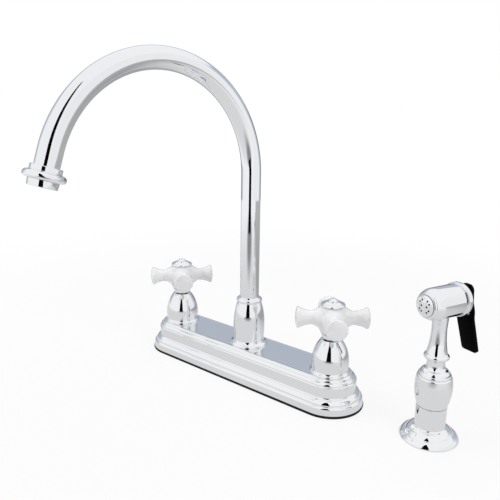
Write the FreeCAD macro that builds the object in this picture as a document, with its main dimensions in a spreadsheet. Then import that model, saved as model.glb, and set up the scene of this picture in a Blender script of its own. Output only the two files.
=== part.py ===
"""Side spray kitchen faucet: an eight-inch deck set with a gooseneck spout, two porcelain cross
handles and a separate hand spray in its own holder.

Millimetres. +Z is up, the deck's top is z = 0, and the origin is on the spout's axis. +X runs
along the deck plate towards the hand spray and the cold valve; the spout leans towards -Y.
Most pieces are turned, so most outlines below are (radius, height) pairs round a vertical axis.
"""
import FreeCAD, Part
import math
import os
import re
import Sketcher
from FreeCAD import Placement, Rotation, Vector

# ---------------------------------------------------------------- driving dimensions
# alias: (value, what it measures)
SIZES = {
    "valve_pitch": (101.6, "spout axis to valve axis, four inches"),
    "gasket_t": (2.0, "thickness of the deck gasket"),
    "deck_t": (23.0, "deck that the nuts clamp"),
    # deck plate
    "plate_len": (269.8, "plate length at its foot"),
    "plate_wid": (66.2, "plate width at its foot"),
    "plate_top": (33.0, "top of the plate above the deck"),
    "plate_wall": (1.3, "wall of the plate"),
    "plate_hole_r": (13.0, "three holes in the plate's top"),
    # valve bodies, hub and water ways
    "shank_r": (10.5, "mounting thread of a shank"),
    "supply_r": (10.3, "supply thread at a shank's foot"),
    "supply_len": (22.0, "length of the supply thread"),
    "shank_foot": (-58.0, "foot of the shanks"),
    "shank_bore_r": (6.0, "water way in a shank"),
    "valve_r": (14.0, "valve barrel"),
    "neck_r": (12.4, "threaded necks that carry the bells"),
    "barrel_top": (30.0, "shoulder of the barrels under the plate"),
    "neck_top": (46.0, "top of a valve's neck"),
    "cavity_floor": (13.0, "floor of the cartridge cavity"),
    "cavity_r": (9.5, "cartridge cavity"),
    "hub_r": (15.0, "barrel of the spout hub"),
    "hub_top": (58.0, "top of the spout hub"),
    "bush_seat": (26.0, "floor of the swivel bore"),
    "swivel_r": (10.6, "swivel bore in the hub"),
    "hose_r": (6.6, "hose thread under the hub"),
    "hose_foot": (-36.0, "foot of the hose thread"),
    "outlet_r": (3.6, "water way down through the hose thread"),
    "diverter_r": (5.0, "diverter plunger"),
    "diverter_gap": (3.0, "travel of the diverter plunger"),
    "way_r": (6.0, "cross tube between valve and hub"),
    "way_z": (20.0, "height of the cross tubes"),
    # cartridges
    "cartridge_r": (9.4, "cartridge housing"),
    "gland_top": (56.0, "top of the cartridge gland"),
    "stem_r": (4.5, "spindle in its bore"),
    "fit_gap": (0.1, "radial clearance of a turning fit"),
    "disc_r": (7.5, "ceramic discs"),
    "disc_t": (3.0, "thickness of a ceramic disc"),
    # handle bells
    "bell_foot_r": (19.5, "flange of a handle bell"),
    "bell_r": (18.0, "widest part of a handle bell"),
    "bell_top": (66.0, "top of a handle bell"),
    "bell_top_r": (9.6, "rim at the top of a handle bell"),
    # porcelain handles
    "arm_z": (87.0, "height of the arms' axes"),
    "arm_reach": (35.2, "handle axis to the tip of an arm"),
    "arm_end_r": (10.4, "flared end of an arm"),
    "arm_neck_r": (6.65, "narrowest part of an arm"),
    "cross_r": (12.9, "porcelain hub"),
    "cross_foot": (71.6, "underside of the porcelain"),
    "cross_top": (98.7, "top of the porcelain"),
    "sleeve_r": (5.9, "metal sleeve up the porcelain's bore"),
    "socket_r": (7.6, "socket in the porcelain's top, for the index cap's plug"),
    "cap_r": (11.5, "rim of the index cap"),
    "button_r": (4.8, "button in the middle of the cap"),
    "button_top": (106.1, "top of the button"),
    "hot_yaw": (50.0, "hot arms' angle to the plate"),
    "cold_yaw": (39.0, "cold arms' angle to the plate"),
    # spout
    "tube_r": (9.78, "gooseneck tube"),
    "tube_bore_r": (8.5, "bore of the gooseneck tube"),
    "tube_foot": (40.0, "foot of the tube in its bush"),
    "arc_z": (212.4, "height of the arc's centre"),
    "arc_r": (104.3, "radius of the arc's centre line"),
    "arc_sweep": (162.2, "sweep of the arc"),
    "spout_yaw": (-8.14, "spout turned towards the hot side at rest"),
    "tip_run": (15.6, "straight end of the tube past the arc"),
    "collar_r": (12.25, "stepped collar at the tip"),
    "tip_ring_r": (16.4, "rounded ring at the tip"),
    "aerator_r": (12.0, "aerator housing"),
    "aerator_t": (5.6, "aerator housing below the ring"),
    # spout bell
    "spout_foot_r": (19.7, "flange of the spout bell"),
    "spout_bell_r": (16.4, "widest part of the spout bell"),
    "spout_neck_r": (12.6, "neck under the bead"),
    "spout_neck_z": (79.0, "height of that neck"),
    "spout_top": (84.9, "top of the spout bell"),
    # hand spray
    "spray_x": (200.9, "holder's axis, in the fourth deck hole"),
    "spray_y": (6.8, "holder's axis behind the valves' line"),
    "spray_yaw": (-20.7, "nozzle turned towards the spout"),
    "holder_r": (25.4, "flange of the holder"),
    "collar_top": (31.2, "rim of the holder's collar"),
    "holder_collar_r": (13.1, "holder's collar"),
    "holder_bore_r": (11.3, "bore of the collar"),
    "holder_shank_r": (12.0, "holder's shank through the deck"),
    "holder_foot": (-42.0, "foot of that shank"),
    "seat_gap": (0.3, "wand above the collar's rim"),
    "bulb_r": (15.9, "widest part of the wand's grip"),
    "bulb_z": (47.0, "height of that part"),
    "wand_top": (107.8, "top of the tapered neck"),
    "wand_bore_r": (3.6, "water way in the wand"),
    "head_z": (124.3, "axis of the spray head"),
    "head_r": (13.7, "barrel of the spray head"),
    "head_bore_r": (10.9, "bore of the spray head"),
    "face_r": (9.2, "nozzle plate"),
    "jet_r": (0.55, "one jet hole"),
    "jet_ring_r": (5.6, "outer ring of jets"),
    "boss_r": (6.6, "boss where the neck enters the head"),
    "rear_ring_r": (14.7, "ring at the rear of the head"),
    "rear_y": (21.2, "rear face of that ring, behind the wand's axis"),
    "rod_r": (2.25, "valve rod"),
    # lever
    "lever_w": (16.8, "width of the lever"),
    "lever_t": (2.9, "thickness of the lever"),
    "lever_y": (28.0, "front of the lever, behind the wand's axis"),
    "pivot_y": (24.4, "lever pin behind the wand's axis"),
    "pivot_z": (-11.5, "lever pin below the head's axis"),
    "pin_r": (1.25, "lever pin"),
    "lug_r": (2.6, "round ends of the lug and the cheeks"),
    "lug_w": (9.8, "width of the lug on the rear cap"),
    "cheek_t": (2.6, "thickness of a cheek of the lever"),
    "cheek_gap": (0.3, "play between the lug and a cheek"),
    "cheek_fit": (0.07, "radial play of the cheeks on their pin"),
    "pin_fit": (0.02, "radial clearance of the pin in the lug"),
    "pin_recess": (0.2, "pin's ends below the cheeks' outer faces"),
}

doc = FreeCAD.newDocument("side_spray_faucet")
sheet = doc.addObject("Spreadsheet::Sheet", "Sizes")
for row, (alias, (value, meaning)) in enumerate(SIZES.items(), start=1):
    sheet.set(f"A{row}", meaning)
    sheet.set(f"B{row}", str(value))
    sheet.setAlias(f"B{row}", alias)
doc.recompute()

PARTS = {}
WORD = re.compile(r"[a-z][a-z_]+")


def bound(text):
    """An expression whose words are read from the sheet."""
    return WORD.sub(lambda word: "Sizes." + word.group(), str(text))


def mm(text):
    """The value of such an expression now."""
    return float(sheet.evalExpression(bound(text)))


# ---------------------------------------------------------------- sketches and features
def new_body(name):
    made = doc.addObject("PartDesign::Body", name)
    made.Label = name
    PARTS[name] = made
    return made


def datum(owner, role):
    """One of a body's own origin planes or axes."""
    return next(item for item in owner.Origin.OriginFeatures if item.Role == role)


def sketch_on(owner, name, role, lift="0"):
    """An empty sketch on one of the body's planes, moved along its normal by lift."""
    drawn = owner.newObject("Sketcher::SketchObject", f"{owner.Name}_{name}")
    drawn.AttachmentSupport = [(datum(owner, role), "")]
    drawn.MapMode = "FlatFace"
    if lift != "0":
        drawn.setExpression(".AttachmentOffset.Base.z", bound(lift))
    return drawn


def pin_point(drawn, piece, end, x, y):
    """Ties a point of the sketch to two sizes, measured from the sketch's origin."""
    for kind, text in (("DistanceX", x), ("DistanceY", y)):
        index = drawn.addConstraint(Sketcher.Constraint(kind, -1, 1, piece, end, mm(text)))
        drawn.setExpression(f"Constraints[{index}]", bound(text))


def arc_between(start, end, radius):
    """The short arc from start to end: a positive radius turns left, a negative one right."""
    chord = end - start
    rise = math.sqrt(max(radius**2 - (chord.Length / 2) ** 2, 0.0))
    left = Vector(-chord.y, chord.x, 0).normalize()
    centre = (start + end) / 2 + left * math.copysign(rise, radius)
    circle = Part.Circle(centre, Vector(0, 0, 1), abs(radius))
    first, last = (start, end) if radius > 0 else (end, start)
    return Part.ArcOfCircle(circle, circle.parameter(first), circle.parameter(last))


def outline(drawn, corners):
    """A closed outline. A corner is (x, y) or (x, y, radius of the arc that arrives there)."""
    base = drawn.GeometryCount
    points = [Vector(mm(corner[0]), mm(corner[1]), 0) for corner in corners]
    ends = []
    for index, corner in enumerate(corners):
        start, end = points[index - 1], points[index]
        if len(corner) == 2:
            drawn.addGeometry(Part.LineSegment(start, end))
            ends.append((1, 2))
            continue
        radius = mm(corner[2])
        piece = drawn.addGeometry(arc_between(start, end, radius))
        ends.append((1, 2) if radius > 0 else (2, 1))
        held = drawn.addConstraint(Sketcher.Constraint("Radius", piece, abs(radius)))
        drawn.setExpression(f"Constraints[{held}]", f"abs({bound(corner[2])})")
    for index, corner in enumerate(corners):
        following = (index + 1) % len(corners)
        finish, begin = ends[index][1], ends[following][0]
        drawn.addConstraint(
            Sketcher.Constraint("Coincident", base + index, finish, base + following, begin))
        pin_point(drawn, base + index, finish, corner[0], corner[1])
    return drawn


def ring(drawn, radius, x="0", y="0"):
    """A circle, with its radius and its centre tied to sizes."""
    piece = drawn.addGeometry(Part.Circle(Vector(mm(x), mm(y), 0), Vector(0, 0, 1), mm(radius)))
    held = drawn.addConstraint(Sketcher.Constraint("Radius", piece, mm(radius)))
    drawn.setExpression(f"Constraints[{held}]", bound(radius))
    pin_point(drawn, piece, 3, x, y)
    return drawn


def dome(radius, height):
    """The radius of a ball that meets the axis squarely: a dome of this radius and height."""
    return f"(({radius})^2 + ({height})^2) / (2 * ({height}))"


def box(low_x, low_y, high_x, high_y):
    """The corners of a rectangle."""
    return [(low_x, low_y), (high_x, low_y), (high_x, high_y), (low_x, high_y)]


def revolve(owner, drawn, axis="V_Axis", angle=360, name="turn", reverse=False):
    made = owner.newObject("PartDesign::Revolution", f"{owner.Name}_{name}")
    made.Profile = drawn
    made.ReferenceAxis = (drawn, [axis])
    made.Angle = angle
    made.Reversed = reverse
    return made


def pad(owner, drawn, length, name="pad", side="One side", reverse=False):
    made = owner.newObject("PartDesign::Pad", f"{owner.Name}_{name}")
    made.Profile = drawn
    made.SideType = side
    made.setExpression("Length", bound(length))
    made.Reversed = reverse
    return made


def pocket(owner, drawn, length=None, name="cut", side="Symmetric", reverse=False):
    """A cut from a sketch: right through both ways, or of one length."""
    before = owner_volume(owner)
    made = owner.newObject("PartDesign::Pocket", f"{owner.Name}_{name}")
    made.Profile = drawn
    made.SideType = side
    made.Reversed = reverse
    if length is None:
        made.Type = "ThroughAll"
    else:
        made.setExpression("Length", bound(length))
    doc.recompute()
    if made.Shape.Volume >= before - 1e-6:
        raise RuntimeError(f"{made.Name} cuts nothing")
    return made


def owner_volume(owner):
    doc.recompute()
    return owner.Shape.Volume


def polar(owner, feature, count, axis="Z_Axis"):
    made = owner.newObject("PartDesign::PolarPattern", f"{feature.Name}_ring")
    made.Originals = [feature]
    made.Axis = (datum(owner, axis), [""])
    made.Angle = 360
    made.Occurrences = count
    owner.Tip = made
    return made


def turned(name, corners):
    """A piece turned round the vertical axis from its half outline."""
    owner = new_body(name)
    revolve(owner, outline(sketch_on(owner, "outline", "XZ_Plane"), corners))
    return owner


def place(item, x="0", y="0", z="0", turn=None):
    """Puts a sub-part at a place that follows the sheet, turned as given."""
    item.Placement = Placement(Vector(mm(x), mm(y), mm(z)), turn or Rotation())
    for axis, text in (("x", x), ("y", y), ("z", z)):
        item.setExpression(f".Placement.Base.{axis}", bound(text))
    return item


def twins(build):
    """The same piece on the hot valve and, turned half round, on the cold one."""
    for side, x, yaw in (("hot", "0 - valve_pitch", 0), ("cold", "valve_pitch", 180)):
        place(build(side), x, turn=Rotation(Vector(0, 0, 1), yaw))


# ---------------------------------------------------------------- deck plate and gasket
def stadium(drawn):
    """The plan of the plate's foot: two straight sides and two half-round ends."""
    half, end = "plate_wid / 2", "plate_len / 2 - plate_wid / 2"
    for sign, first, last in ((1, -90, 90), (-1, 90, 270)):
        x = f"{sign} * ({end})"
        circle = Part.Circle(Vector(mm(x), 0, 0), Vector(0, 0, 1), mm(half))
        piece = drawn.addGeometry(
            Part.ArcOfCircle(circle, math.radians(first), math.radians(last)))
        held = drawn.addConstraint(Sketcher.Constraint("Radius", piece, mm(half)))
        drawn.setExpression(f"Constraints[{held}]", bound(half))
        pin_point(drawn, piece, 3, x, "0")
    for first, last in ((0, 1), (1, 0)):
        start, end_point = drawn.getPoint(first, 2), drawn.getPoint(last, 1)
        side = drawn.addGeometry(Part.LineSegment(start, end_point))
        drawn.addConstraint(Sketcher.Constraint("Tangent", first, 2, side, 1))
        drawn.addConstraint(Sketcher.Constraint("Tangent", side, 2, last, 1))
    return drawn


def deck_gasket():
    """Black rubber under the plate, with a hole for each shank and the hose thread."""
    owner = new_body("deck_gasket")
    pad(owner, stadium(sketch_on(owner, "plan", "XY_Plane")), "gasket_t")
    holes = sketch_on(owner, "holes", "XY_Plane")
    for x in ("0 - valve_pitch", "0", "valve_pitch"):
        ring(holes, "shank_r + 1", x)
    pocket(owner, holes)


def plate_wall_corners():
    """Half of the plate's wall in section: out from the middle, y across and z up.

    From the foot: a lean band, a bead and a quarter round up to a neck, the broad upper band,
    then a bead and a quarter round to the flat top. The inside follows with plainer lines.
    """
    edge, inner = "plate_wid / 2", "plate_wid / 2 - plate_wall"
    return [
        (f"{inner} - 0.4", "gasket_t"),
        (f"{edge} - 0.3", "gasket_t"),
        (f"{edge}", "gasket_t + 0.8", 0.9),
        (f"{edge} - 0.7", "7.2"),
        (f"{edge} - 2.5", "10.0", 2.4),
        (f"{edge} - 2.8", "10.6", -0.8),
        (f"{edge} - 6.6", "15.2", 5.2),
        (f"{edge} - 7.7", "16.4", -1.5),
        (f"{edge} - 7.2", "26.6", 62),
        (f"{edge} - 8.2", "27.1"),
        (f"{edge} - 10.0", "30.3", 3.2),
        (f"{edge} - 10.6", "30.6"),
        (f"{edge} - 13.0", "plate_top", 2.6),
        ("0", "plate_top"),
        ("0", "plate_top - plate_wall"),
        (f"{inner} - 12.2", "plate_top - plate_wall"),
        (f"{inner} - 8.0", "26.2"),
        (f"{inner} - 8.0", "15.6"),
        (f"{inner} - 2.8", "9.2"),
        (f"{inner} - 0.9", "6.6"),
    ]


def deck_plate():
    """Moulded chrome cover: one wall section run along the sides and turned round the ends."""
    owner = new_body("deck_plate")
    half_run = "plate_len / 2 - plate_wid / 2"
    wall = outline(sketch_on(owner, "wall", "YZ_Plane", half_run), plate_wall_corners())
    side = pad(owner, wall, f"2 * ({half_run})", "side", reverse=True)
    far_side = owner.newObject("PartDesign::Mirrored", "deck_plate_far_side")
    far_side.Originals = [side]
    far_side.MirrorPlane = (datum(owner, "XZ_Plane"), [""])
    owner.Tip = far_side
    end = revolve(owner, wall, angle=180, name="end", reverse=True)
    far_end = owner.newObject("PartDesign::Mirrored", "deck_plate_far_end")
    far_end.Originals = [end]
    far_end.MirrorPlane = (datum(owner, "YZ_Plane"), [""])
    owner.Tip = far_end
    holes = sketch_on(owner, "holes", "XY_Plane")
    for x in ("0 - valve_pitch", "0", "valve_pitch"):
        ring(holes, "plate_hole_r", x)
    pocket(owner, holes)


# ---------------------------------------------------------------- water ways under the plate
def valve_body(side):
    """Brass barrel and shank in one: the cartridge drops in from above, the supply screws on."""
    step = "shank_foot + supply_len"
    owner = turned(f"{side}_valve_body", [
        ("shank_bore_r", "shank_foot"),
        ("supply_r", "shank_foot"),
        ("supply_r", step),
        ("shank_r - 1", step),
        ("shank_r - 1", f"{step} + 2"),
        ("shank_r", f"{step} + 2"),
        ("shank_r", "gasket_t"),
        ("valve_r", "gasket_t"),
        ("valve_r", "barrel_top"),
        ("neck_r", "barrel_top"),
        ("neck_r", "neck_top"),
        ("cavity_r", "neck_top"),
        ("cavity_r", "cavity_floor"),
        ("shank_bore_r", "cavity_floor"),
    ])
    port = ring(sketch_on(owner, "port", "YZ_Plane"), "way_r + 0.05", "0", "way_z")
    pocket(owner, port, "valve_r + 2", "port", "One side", reverse=True)
    return owner


def spout_hub():
    """Brass hub under the spout: swivel bore above, diverter bore and hose thread below."""
    owner = turned("spout_hub", [
        ("outlet_r", "hose_foot"),
        ("hose_r", "hose_foot"),
        ("hose_r", "-14"),
        ("hose_r + 2.4", "-14"),
        ("hose_r + 2.4", "gasket_t"),
        ("hub_r", "gasket_t"),
        ("hub_r", "barrel_top"),
        ("neck_r", "barrel_top"),
        ("neck_r", "hub_top"),
        ("swivel_r", "hub_top"),
        ("swivel_r", "bush_seat"),
        ("8", "bush_seat"),
        ("8", "cavity_floor"),
        ("diverter_r + fit_gap", "cavity_floor"),
        ("diverter_r + fit_gap", "-8"),
        ("outlet_r", "-8"),
    ])
    ports = ring(sketch_on(owner, "ports", "YZ_Plane"), "way_r + 0.05", "0", "way_z")
    pocket(owner, ports, "2 * hub_r + 2", "ports")


def water_way(side):
    """Brass tube from the valve's port to the hub's, its ends inside both."""
    owner = new_body(f"{side}_water_way")
    section = sketch_on(owner, "section", "YZ_Plane", "valve_r - 3")
    ring(section, "way_r", "0", "way_z")
    ring(section, "way_r - 1.2", "0", "way_z")
    pad(owner, section, "valve_pitch - valve_r - hub_r + 6")
    return owner


def diverter():
    """The plunger that sends water to the hand spray, and the sleeve that its spring fills."""
    turned("diverter_plunger", [
        ("3", "-2"),
        ("diverter_r", "-2"),
        ("diverter_r", "cavity_floor + diverter_gap + 0.2"),
        ("diverter_r + 2.4", "cavity_floor + diverter_gap + 0.2"),
        ("diverter_r + 2.4", "cavity_floor + diverter_gap + 2.4"),
        ("0", "cavity_floor + diverter_gap + 2.4"),
        ("0", "cavity_floor - 3"),
        ("3", "cavity_floor - 3"),
    ])
    turned("diverter_spring", box("diverter_r - 1.4", "-7.95", "diverter_r - 0.1", "-2.05"))


def nut_prism(name, hole, flats, foot, height):
    """A hexagon nut on a shank under the deck."""
    owner = new_body(name)
    plan = sketch_on(owner, "plan", "XY_Plane", foot)
    corner = [(f"({flats}) / 2 * {math.cos(math.radians(a)) / math.cos(math.pi / 6):.6f}",
               f"({flats}) / 2 * {math.sin(math.radians(a)) / math.cos(math.pi / 6):.6f}")
              for a in range(0, 360, 60)]
    outline(plan, corner)
    pad(owner, plan, height)
    pocket(owner, ring(sketch_on(owner, "hole", "XY_Plane"), hole))
    return owner


def mounting_washer(side):
    return turned(f"{side}_mounting_washer",
                  box("shank_r + 0.3", "0 - deck_t - 2.5", "shank_r + 8.5", "0 - deck_t"))


def mounting_nut(side):
    return nut_prism(f"{side}_mounting_nut", "shank_r + 0.05", "30", "0 - deck_t - 10", "7.4")


# ---------------------------------------------------------------- cartridges
def cartridge(side):
    """Brass housing: discs sit in its foot, two windows let the water out, a gland tops it."""
    bore = "stem_r + fit_gap"
    owner = turned(f"{side}_cartridge", [
        ("disc_r + 0.2", "16"),
        ("cartridge_r", "16"),
        ("cartridge_r", "18.5"),
        ("cartridge_r - 1", "18.5"),
        ("cartridge_r - 1", "29"),
        ("cartridge_r", "29"),
        ("cartridge_r", "neck_top"),
        ("11.6", "neck_top"),
        ("11.6", "neck_top + 2"),
        ("8.2", "neck_top + 2"),
        ("8.2", "gland_top"),
        (bore, "gland_top"),
        (bore, "25"),
        ("disc_r + 0.2", "25"),
    ])
    windows = ring(sketch_on(owner, "windows", "XZ_Plane"), "2.2", "0", "way_z + 2.6")
    pocket(owner, windows)
    return owner


def disc(name, foot, across):
    """A ceramic disc with two water holes, side by side or fore and aft."""
    owner = new_body(name)
    plan = sketch_on(owner, "plan", "XY_Plane", foot)
    ring(plan, "disc_r")
    for sign in (1, -1):
        x, y = (f"{sign * 4}", "0") if across else ("0", f"{sign * 4}")
        ring(plan, "2", x, y)
    pad(owner, plan, "disc_t")
    return owner


def fixed_disc(side):
    return disc(f"{side}_fixed_disc", "16", True)


def turning_disc(side):
    return disc(f"{side}_turning_disc", "16 + disc_t + 0.05", False)


def seat_seal(side):
    """Rubber ring between the fixed disc and the floor of the valve's cavity."""
    return turned(f"{side}_seat_seal", box("6.2", "cavity_floor", "8.9", "16"))


def stem(side):
    """Spindle: a foot on the turning disc, the journal in the gland, then the handle's end."""
    foot = "16.05 + 2 * disc_t"
    return turned(f"{side}_stem", [
        ("0", foot),
        ("disc_r - 1", foot),
        ("disc_r - 1", f"{foot} + 2.4"),
        ("stem_r", f"{foot} + 2.4"),
        ("stem_r", "60"),
        ("stem_r - 0.5", "60.5"),
        ("stem_r - 0.5", "90"),
        ("1.9", "90"),
        ("1.9", "76"),
        ("0", "76"),
    ])


# ---------------------------------------------------------------- bells
def handle_bell(side):
    """Tulip-shaped chrome bell, screwed on the valve's neck and open at the top for the stem."""
    return turned(f"{side}_handle_bell", [
        ("neck_r + 0.1", "plate_top"),
        ("bell_foot_r", "plate_top"),
        ("bell_foot_r - 0.9", "plate_top + 1.9", 1.4),
        ("bell_r - 0.4", "plate_top + 4.2", -2.8),
        ("bell_r", "plate_top + 9.5", 36),
        ("bell_top_r + 0.5", "bell_top - 0.6", 37),
        ("bell_top_r", "bell_top", 0.8),
        ("stem_r + 1.6", "bell_top"),
        ("stem_r + 1.6", "bell_top - 3"),
        ("9.4", "gland_top + 1"),
        ("neck_r + 0.1", "neck_top + 3"),
    ])


def spout_bell():
    """Chrome bell round the spout's foot, with a bead at its neck; it hides the swivel nut."""
    tube_hole = "tube_r + 0.08"
    turned("spout_bell", [
        ("neck_r + 0.1", "plate_top"),
        ("spout_foot_r", "plate_top"),
        ("spout_foot_r - 1.0", "plate_top + 2.2", 1.6),
        ("spout_bell_r - 0.6", "plate_top + 5.8", -4.2),
        ("spout_bell_r", "55", 210),
        ("spout_neck_r", "spout_neck_z", 78),
        ("spout_neck_r - 0.2", "spout_neck_z + 0.5"),
        ("spout_neck_r - 0.2", "spout_neck_z + 4.1", 2.1),
        ("tube_r + 0.9", "spout_top", -2.2),
        (tube_hole, "spout_top"),
        (tube_hole, "spout_neck_z - 5"),
        ("14", "65.5"),
        ("14", "neck_top"),
        ("neck_r + 0.1", "neck_top - 2"),
    ])


# ---------------------------------------------------------------- porcelain handles
def cross(side):
    """Four flared porcelain arms on a round hub, modelled about the arms' own height."""
    owner = new_body(f"{side}_cross")
    hub = outline(sketch_on(owner, "hub", "XZ_Plane"), [
        ("sleeve_r + 0.1", "cross_foot - arm_z"),
        ("cross_r - 3.0", "cross_foot - arm_z"),
        ("cross_r - 2.4", "cross_foot - arm_z + 0.6", 0.7),
        ("cross_r", "cross_foot - arm_z + 8", 14),
        ("cross_r", "7.5"),
        ("cap_r + 0.2", "cross_top - arm_z - 0.7", 9),
        ("cap_r - 0.6", "cross_top - arm_z", 0.9),
        ("socket_r", "cross_top - arm_z"),
        ("socket_r", "cross_top - arm_z - 4"),
        ("sleeve_r + 0.1", "cross_top - arm_z - 4"),
    ])
    revolve(owner, hub)
    arm = outline(sketch_on(owner, "arm", "XZ_Plane"), [
        ("8.5", "0"),
        ("arm_reach", "0"),
        ("arm_reach - 1.4", "arm_end_r - 1.1", dome("arm_end_r - 1.1", "1.4")),
        ("arm_reach - 3", "arm_end_r", 1.7),
        ("20", "arm_neck_r", -24),
        ("16.2", "arm_neck_r + 1.2", -6.8),
        ("12.2", "arm_neck_r + 3.6"),
        ("8.5", "arm_neck_r + 4.2", 6),
    ])
    polar(owner, revolve(owner, arm, "H_Axis", name="arm"), 4)
    return owner


def hub_cup(side):
    """Chrome cup under the porcelain, with the sleeve that the spindle turns."""
    return turned(f"{side}_hub_cup", [
        ("stem_r - 0.35", "bell_top + 0.9"),
        ("8.2", "bell_top + 0.9"),
        ("8.9", "bell_top + 2.2", 1.6),
        ("cross_r - 2.6", "cross_foot", -7),
        ("sleeve_r", "cross_foot"),
        ("sleeve_r", "89.9"),
        ("stem_r - 0.35", "89.9"),
    ])


def handle_screw(side):
    """Round-head screw down the spindle; it clamps sleeve and porcelain."""
    return turned(f"{side}_handle_screw", [
        ("0", "77"),
        ("1.8", "77"),
        ("1.8", "90.05"),
        ("5.6", "90.05"),
        ("5.2", "91.6"),
        ("0", "92.7", dome("5.2", "1.1")),
    ])


def index_cap(side):
    """Chrome cap on the porcelain: a plug below, a rounded rim, a low cone and a button."""
    return turned(f"{side}_index_cap", [
        ("0", "cross_top + 0.7"),
        ("socket_r - 2", "cross_top + 0.7"),
        ("socket_r - 2", "cross_top - 3"),
        ("socket_r - 0.1", "cross_top - 3"),
        ("socket_r - 0.1", "cross_top + 0.05"),
        ("cap_r - 0.8", "cross_top + 0.05"),
        ("cap_r", "cross_top + 1.3", 1.4),
        ("cap_r - 1.5", "cross_top + 2.7", 1.6),
        ("cap_r - 1.9", "cross_top + 2.5"),
        ("button_r + 0.9", "cross_top + 4.6", 16),
        ("button_r + 0.1", "cross_top + 4.3"),
        ("button_r", "cross_top + 5.0"),
        ("button_r - 0.4", "cross_top + 5.6", 0.7),
        ("0", "button_top", dome("button_r - 0.4", "button_top - cross_top - 5.6")),
    ])


# ---------------------------------------------------------------- spout
def gooseneck_tube():
    """Chrome tube: straight up from its bush, round the arc, then a short straight tip."""
    owner = new_body("gooseneck_tube")
    foot = sketch_on(owner, "foot", "XY_Plane", "tube_foot")
    ring(foot, "tube_r")
    ring(foot, "tube_bore_r")
    pad(owner, foot, "arc_z - tube_foot", "column")
    bend = sketch_on(owner, "bend", "XY_Plane", "arc_z")
    ring(bend, "tube_r")
    ring(bend, "tube_bore_r")
    hinge = bend.addGeometry(Part.LineSegment(Vector(-5, -mm("arc_r"), 0), Vector(5, -mm("arc_r"), 0)))
    bend.toggleConstruction(hinge)
    for end, x in ((1, "0 - 5"), (2, "5")):
        pin_point(bend, hinge, end, x, "0 - arc_r")
    arc = revolve(owner, bend, "Axis0", mm("arc_sweep"), "arc")
    arc.setExpression("Angle", bound("arc_sweep"))
    doc.recompute()
    rim = max(owner.Shape.Faces, key=lambda face: -face.CenterOfMass.y
              if face.Surface.TypeId == "Part::GeomPlane" else -1e9)
    tip = owner.newObject("PartDesign::Pad", "gooseneck_tube_tip")
    tip.Profile = (arc, [f"Face{index + 1}" for index, face in enumerate(owner.Shape.Faces)
                         if face.isSame(rim)])
    tip.setExpression("Length", bound("tip_run"))
    return place(owner, turn=Rotation(Vector(0, 0, 1), mm("spout_yaw")))


def tip_placement():
    """Placement of the pieces at the tip: their -Z runs out along the straight end."""
    sweep = math.radians(mm("arc_sweep"))
    start = Vector(0, mm("arc_r") * (math.cos(sweep) - 1), mm("arc_z") + mm("arc_r") * math.sin(sweep))
    lean = Rotation(Vector(1, 0, 0), mm("arc_sweep") - 180)
    yaw = Rotation(Vector(0, 0, 1), mm("spout_yaw"))
    return Placement(yaw.multVec(start), yaw.multiply(lean))


def spout_tip_pieces():
    """Collar and ring on the tube's end, then the aerator's housing, insert and washer."""
    tip = turned("spout_tip", [
        ("tube_r + 0.04", "-15.6"),
        ("tube_r + 0.04", "-11.7"),
        ("collar_r - 0.7", "-11.7"),
        ("collar_r", "-12.3", -0.7),
        ("collar_r", "-15.8"),
        ("tip_ring_r - 2.3", "-16.3"),
        ("tip_ring_r", "-19.3", -3.1),
        ("tip_ring_r - 2.6", "-22.2", -3.0),
        ("aerator_r - 1.6", "-22.2"),
        ("aerator_r - 1.6", "-17.2"),
        ("8.4", "-17.2"),
        ("8.4", "-15.6"),
    ])
    housing = turned("aerator_housing", [
        ("aerator_r - 3.2", "-22.2 - aerator_t"),
        ("aerator_r - 1.1", "-22.2 - aerator_t"),
        ("aerator_r - 0.5", "-21.7 - aerator_t", 0.6),
        ("aerator_r", "-22.3"),
        ("aerator_r - 1.65", "-22.3"),
        ("aerator_r - 1.65", "-18.5"),
        ("aerator_r - 3.2", "-18.5"),
    ])
    insert = new_body("aerator_insert")
    plan = sketch_on(insert, "plan", "XY_Plane", "-21.2 - aerator_t")
    ring(plan, "aerator_r - 3.25")
    for index in range(6):
        angle = math.radians(60 * index)
        ring(plan, "1.5", f"5.4 * {math.cos(angle):.6f}", f"5.4 * {math.sin(angle):.6f}")
    ring(plan, "1.8")
    pad(insert, plan, "7")
    washer = turned("aerator_washer", box("7.4", "-18.4", "aerator_r - 1.75", "-17.3"))
    for piece in (tip, housing, insert, washer):
        piece.Placement = tip_placement()


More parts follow.
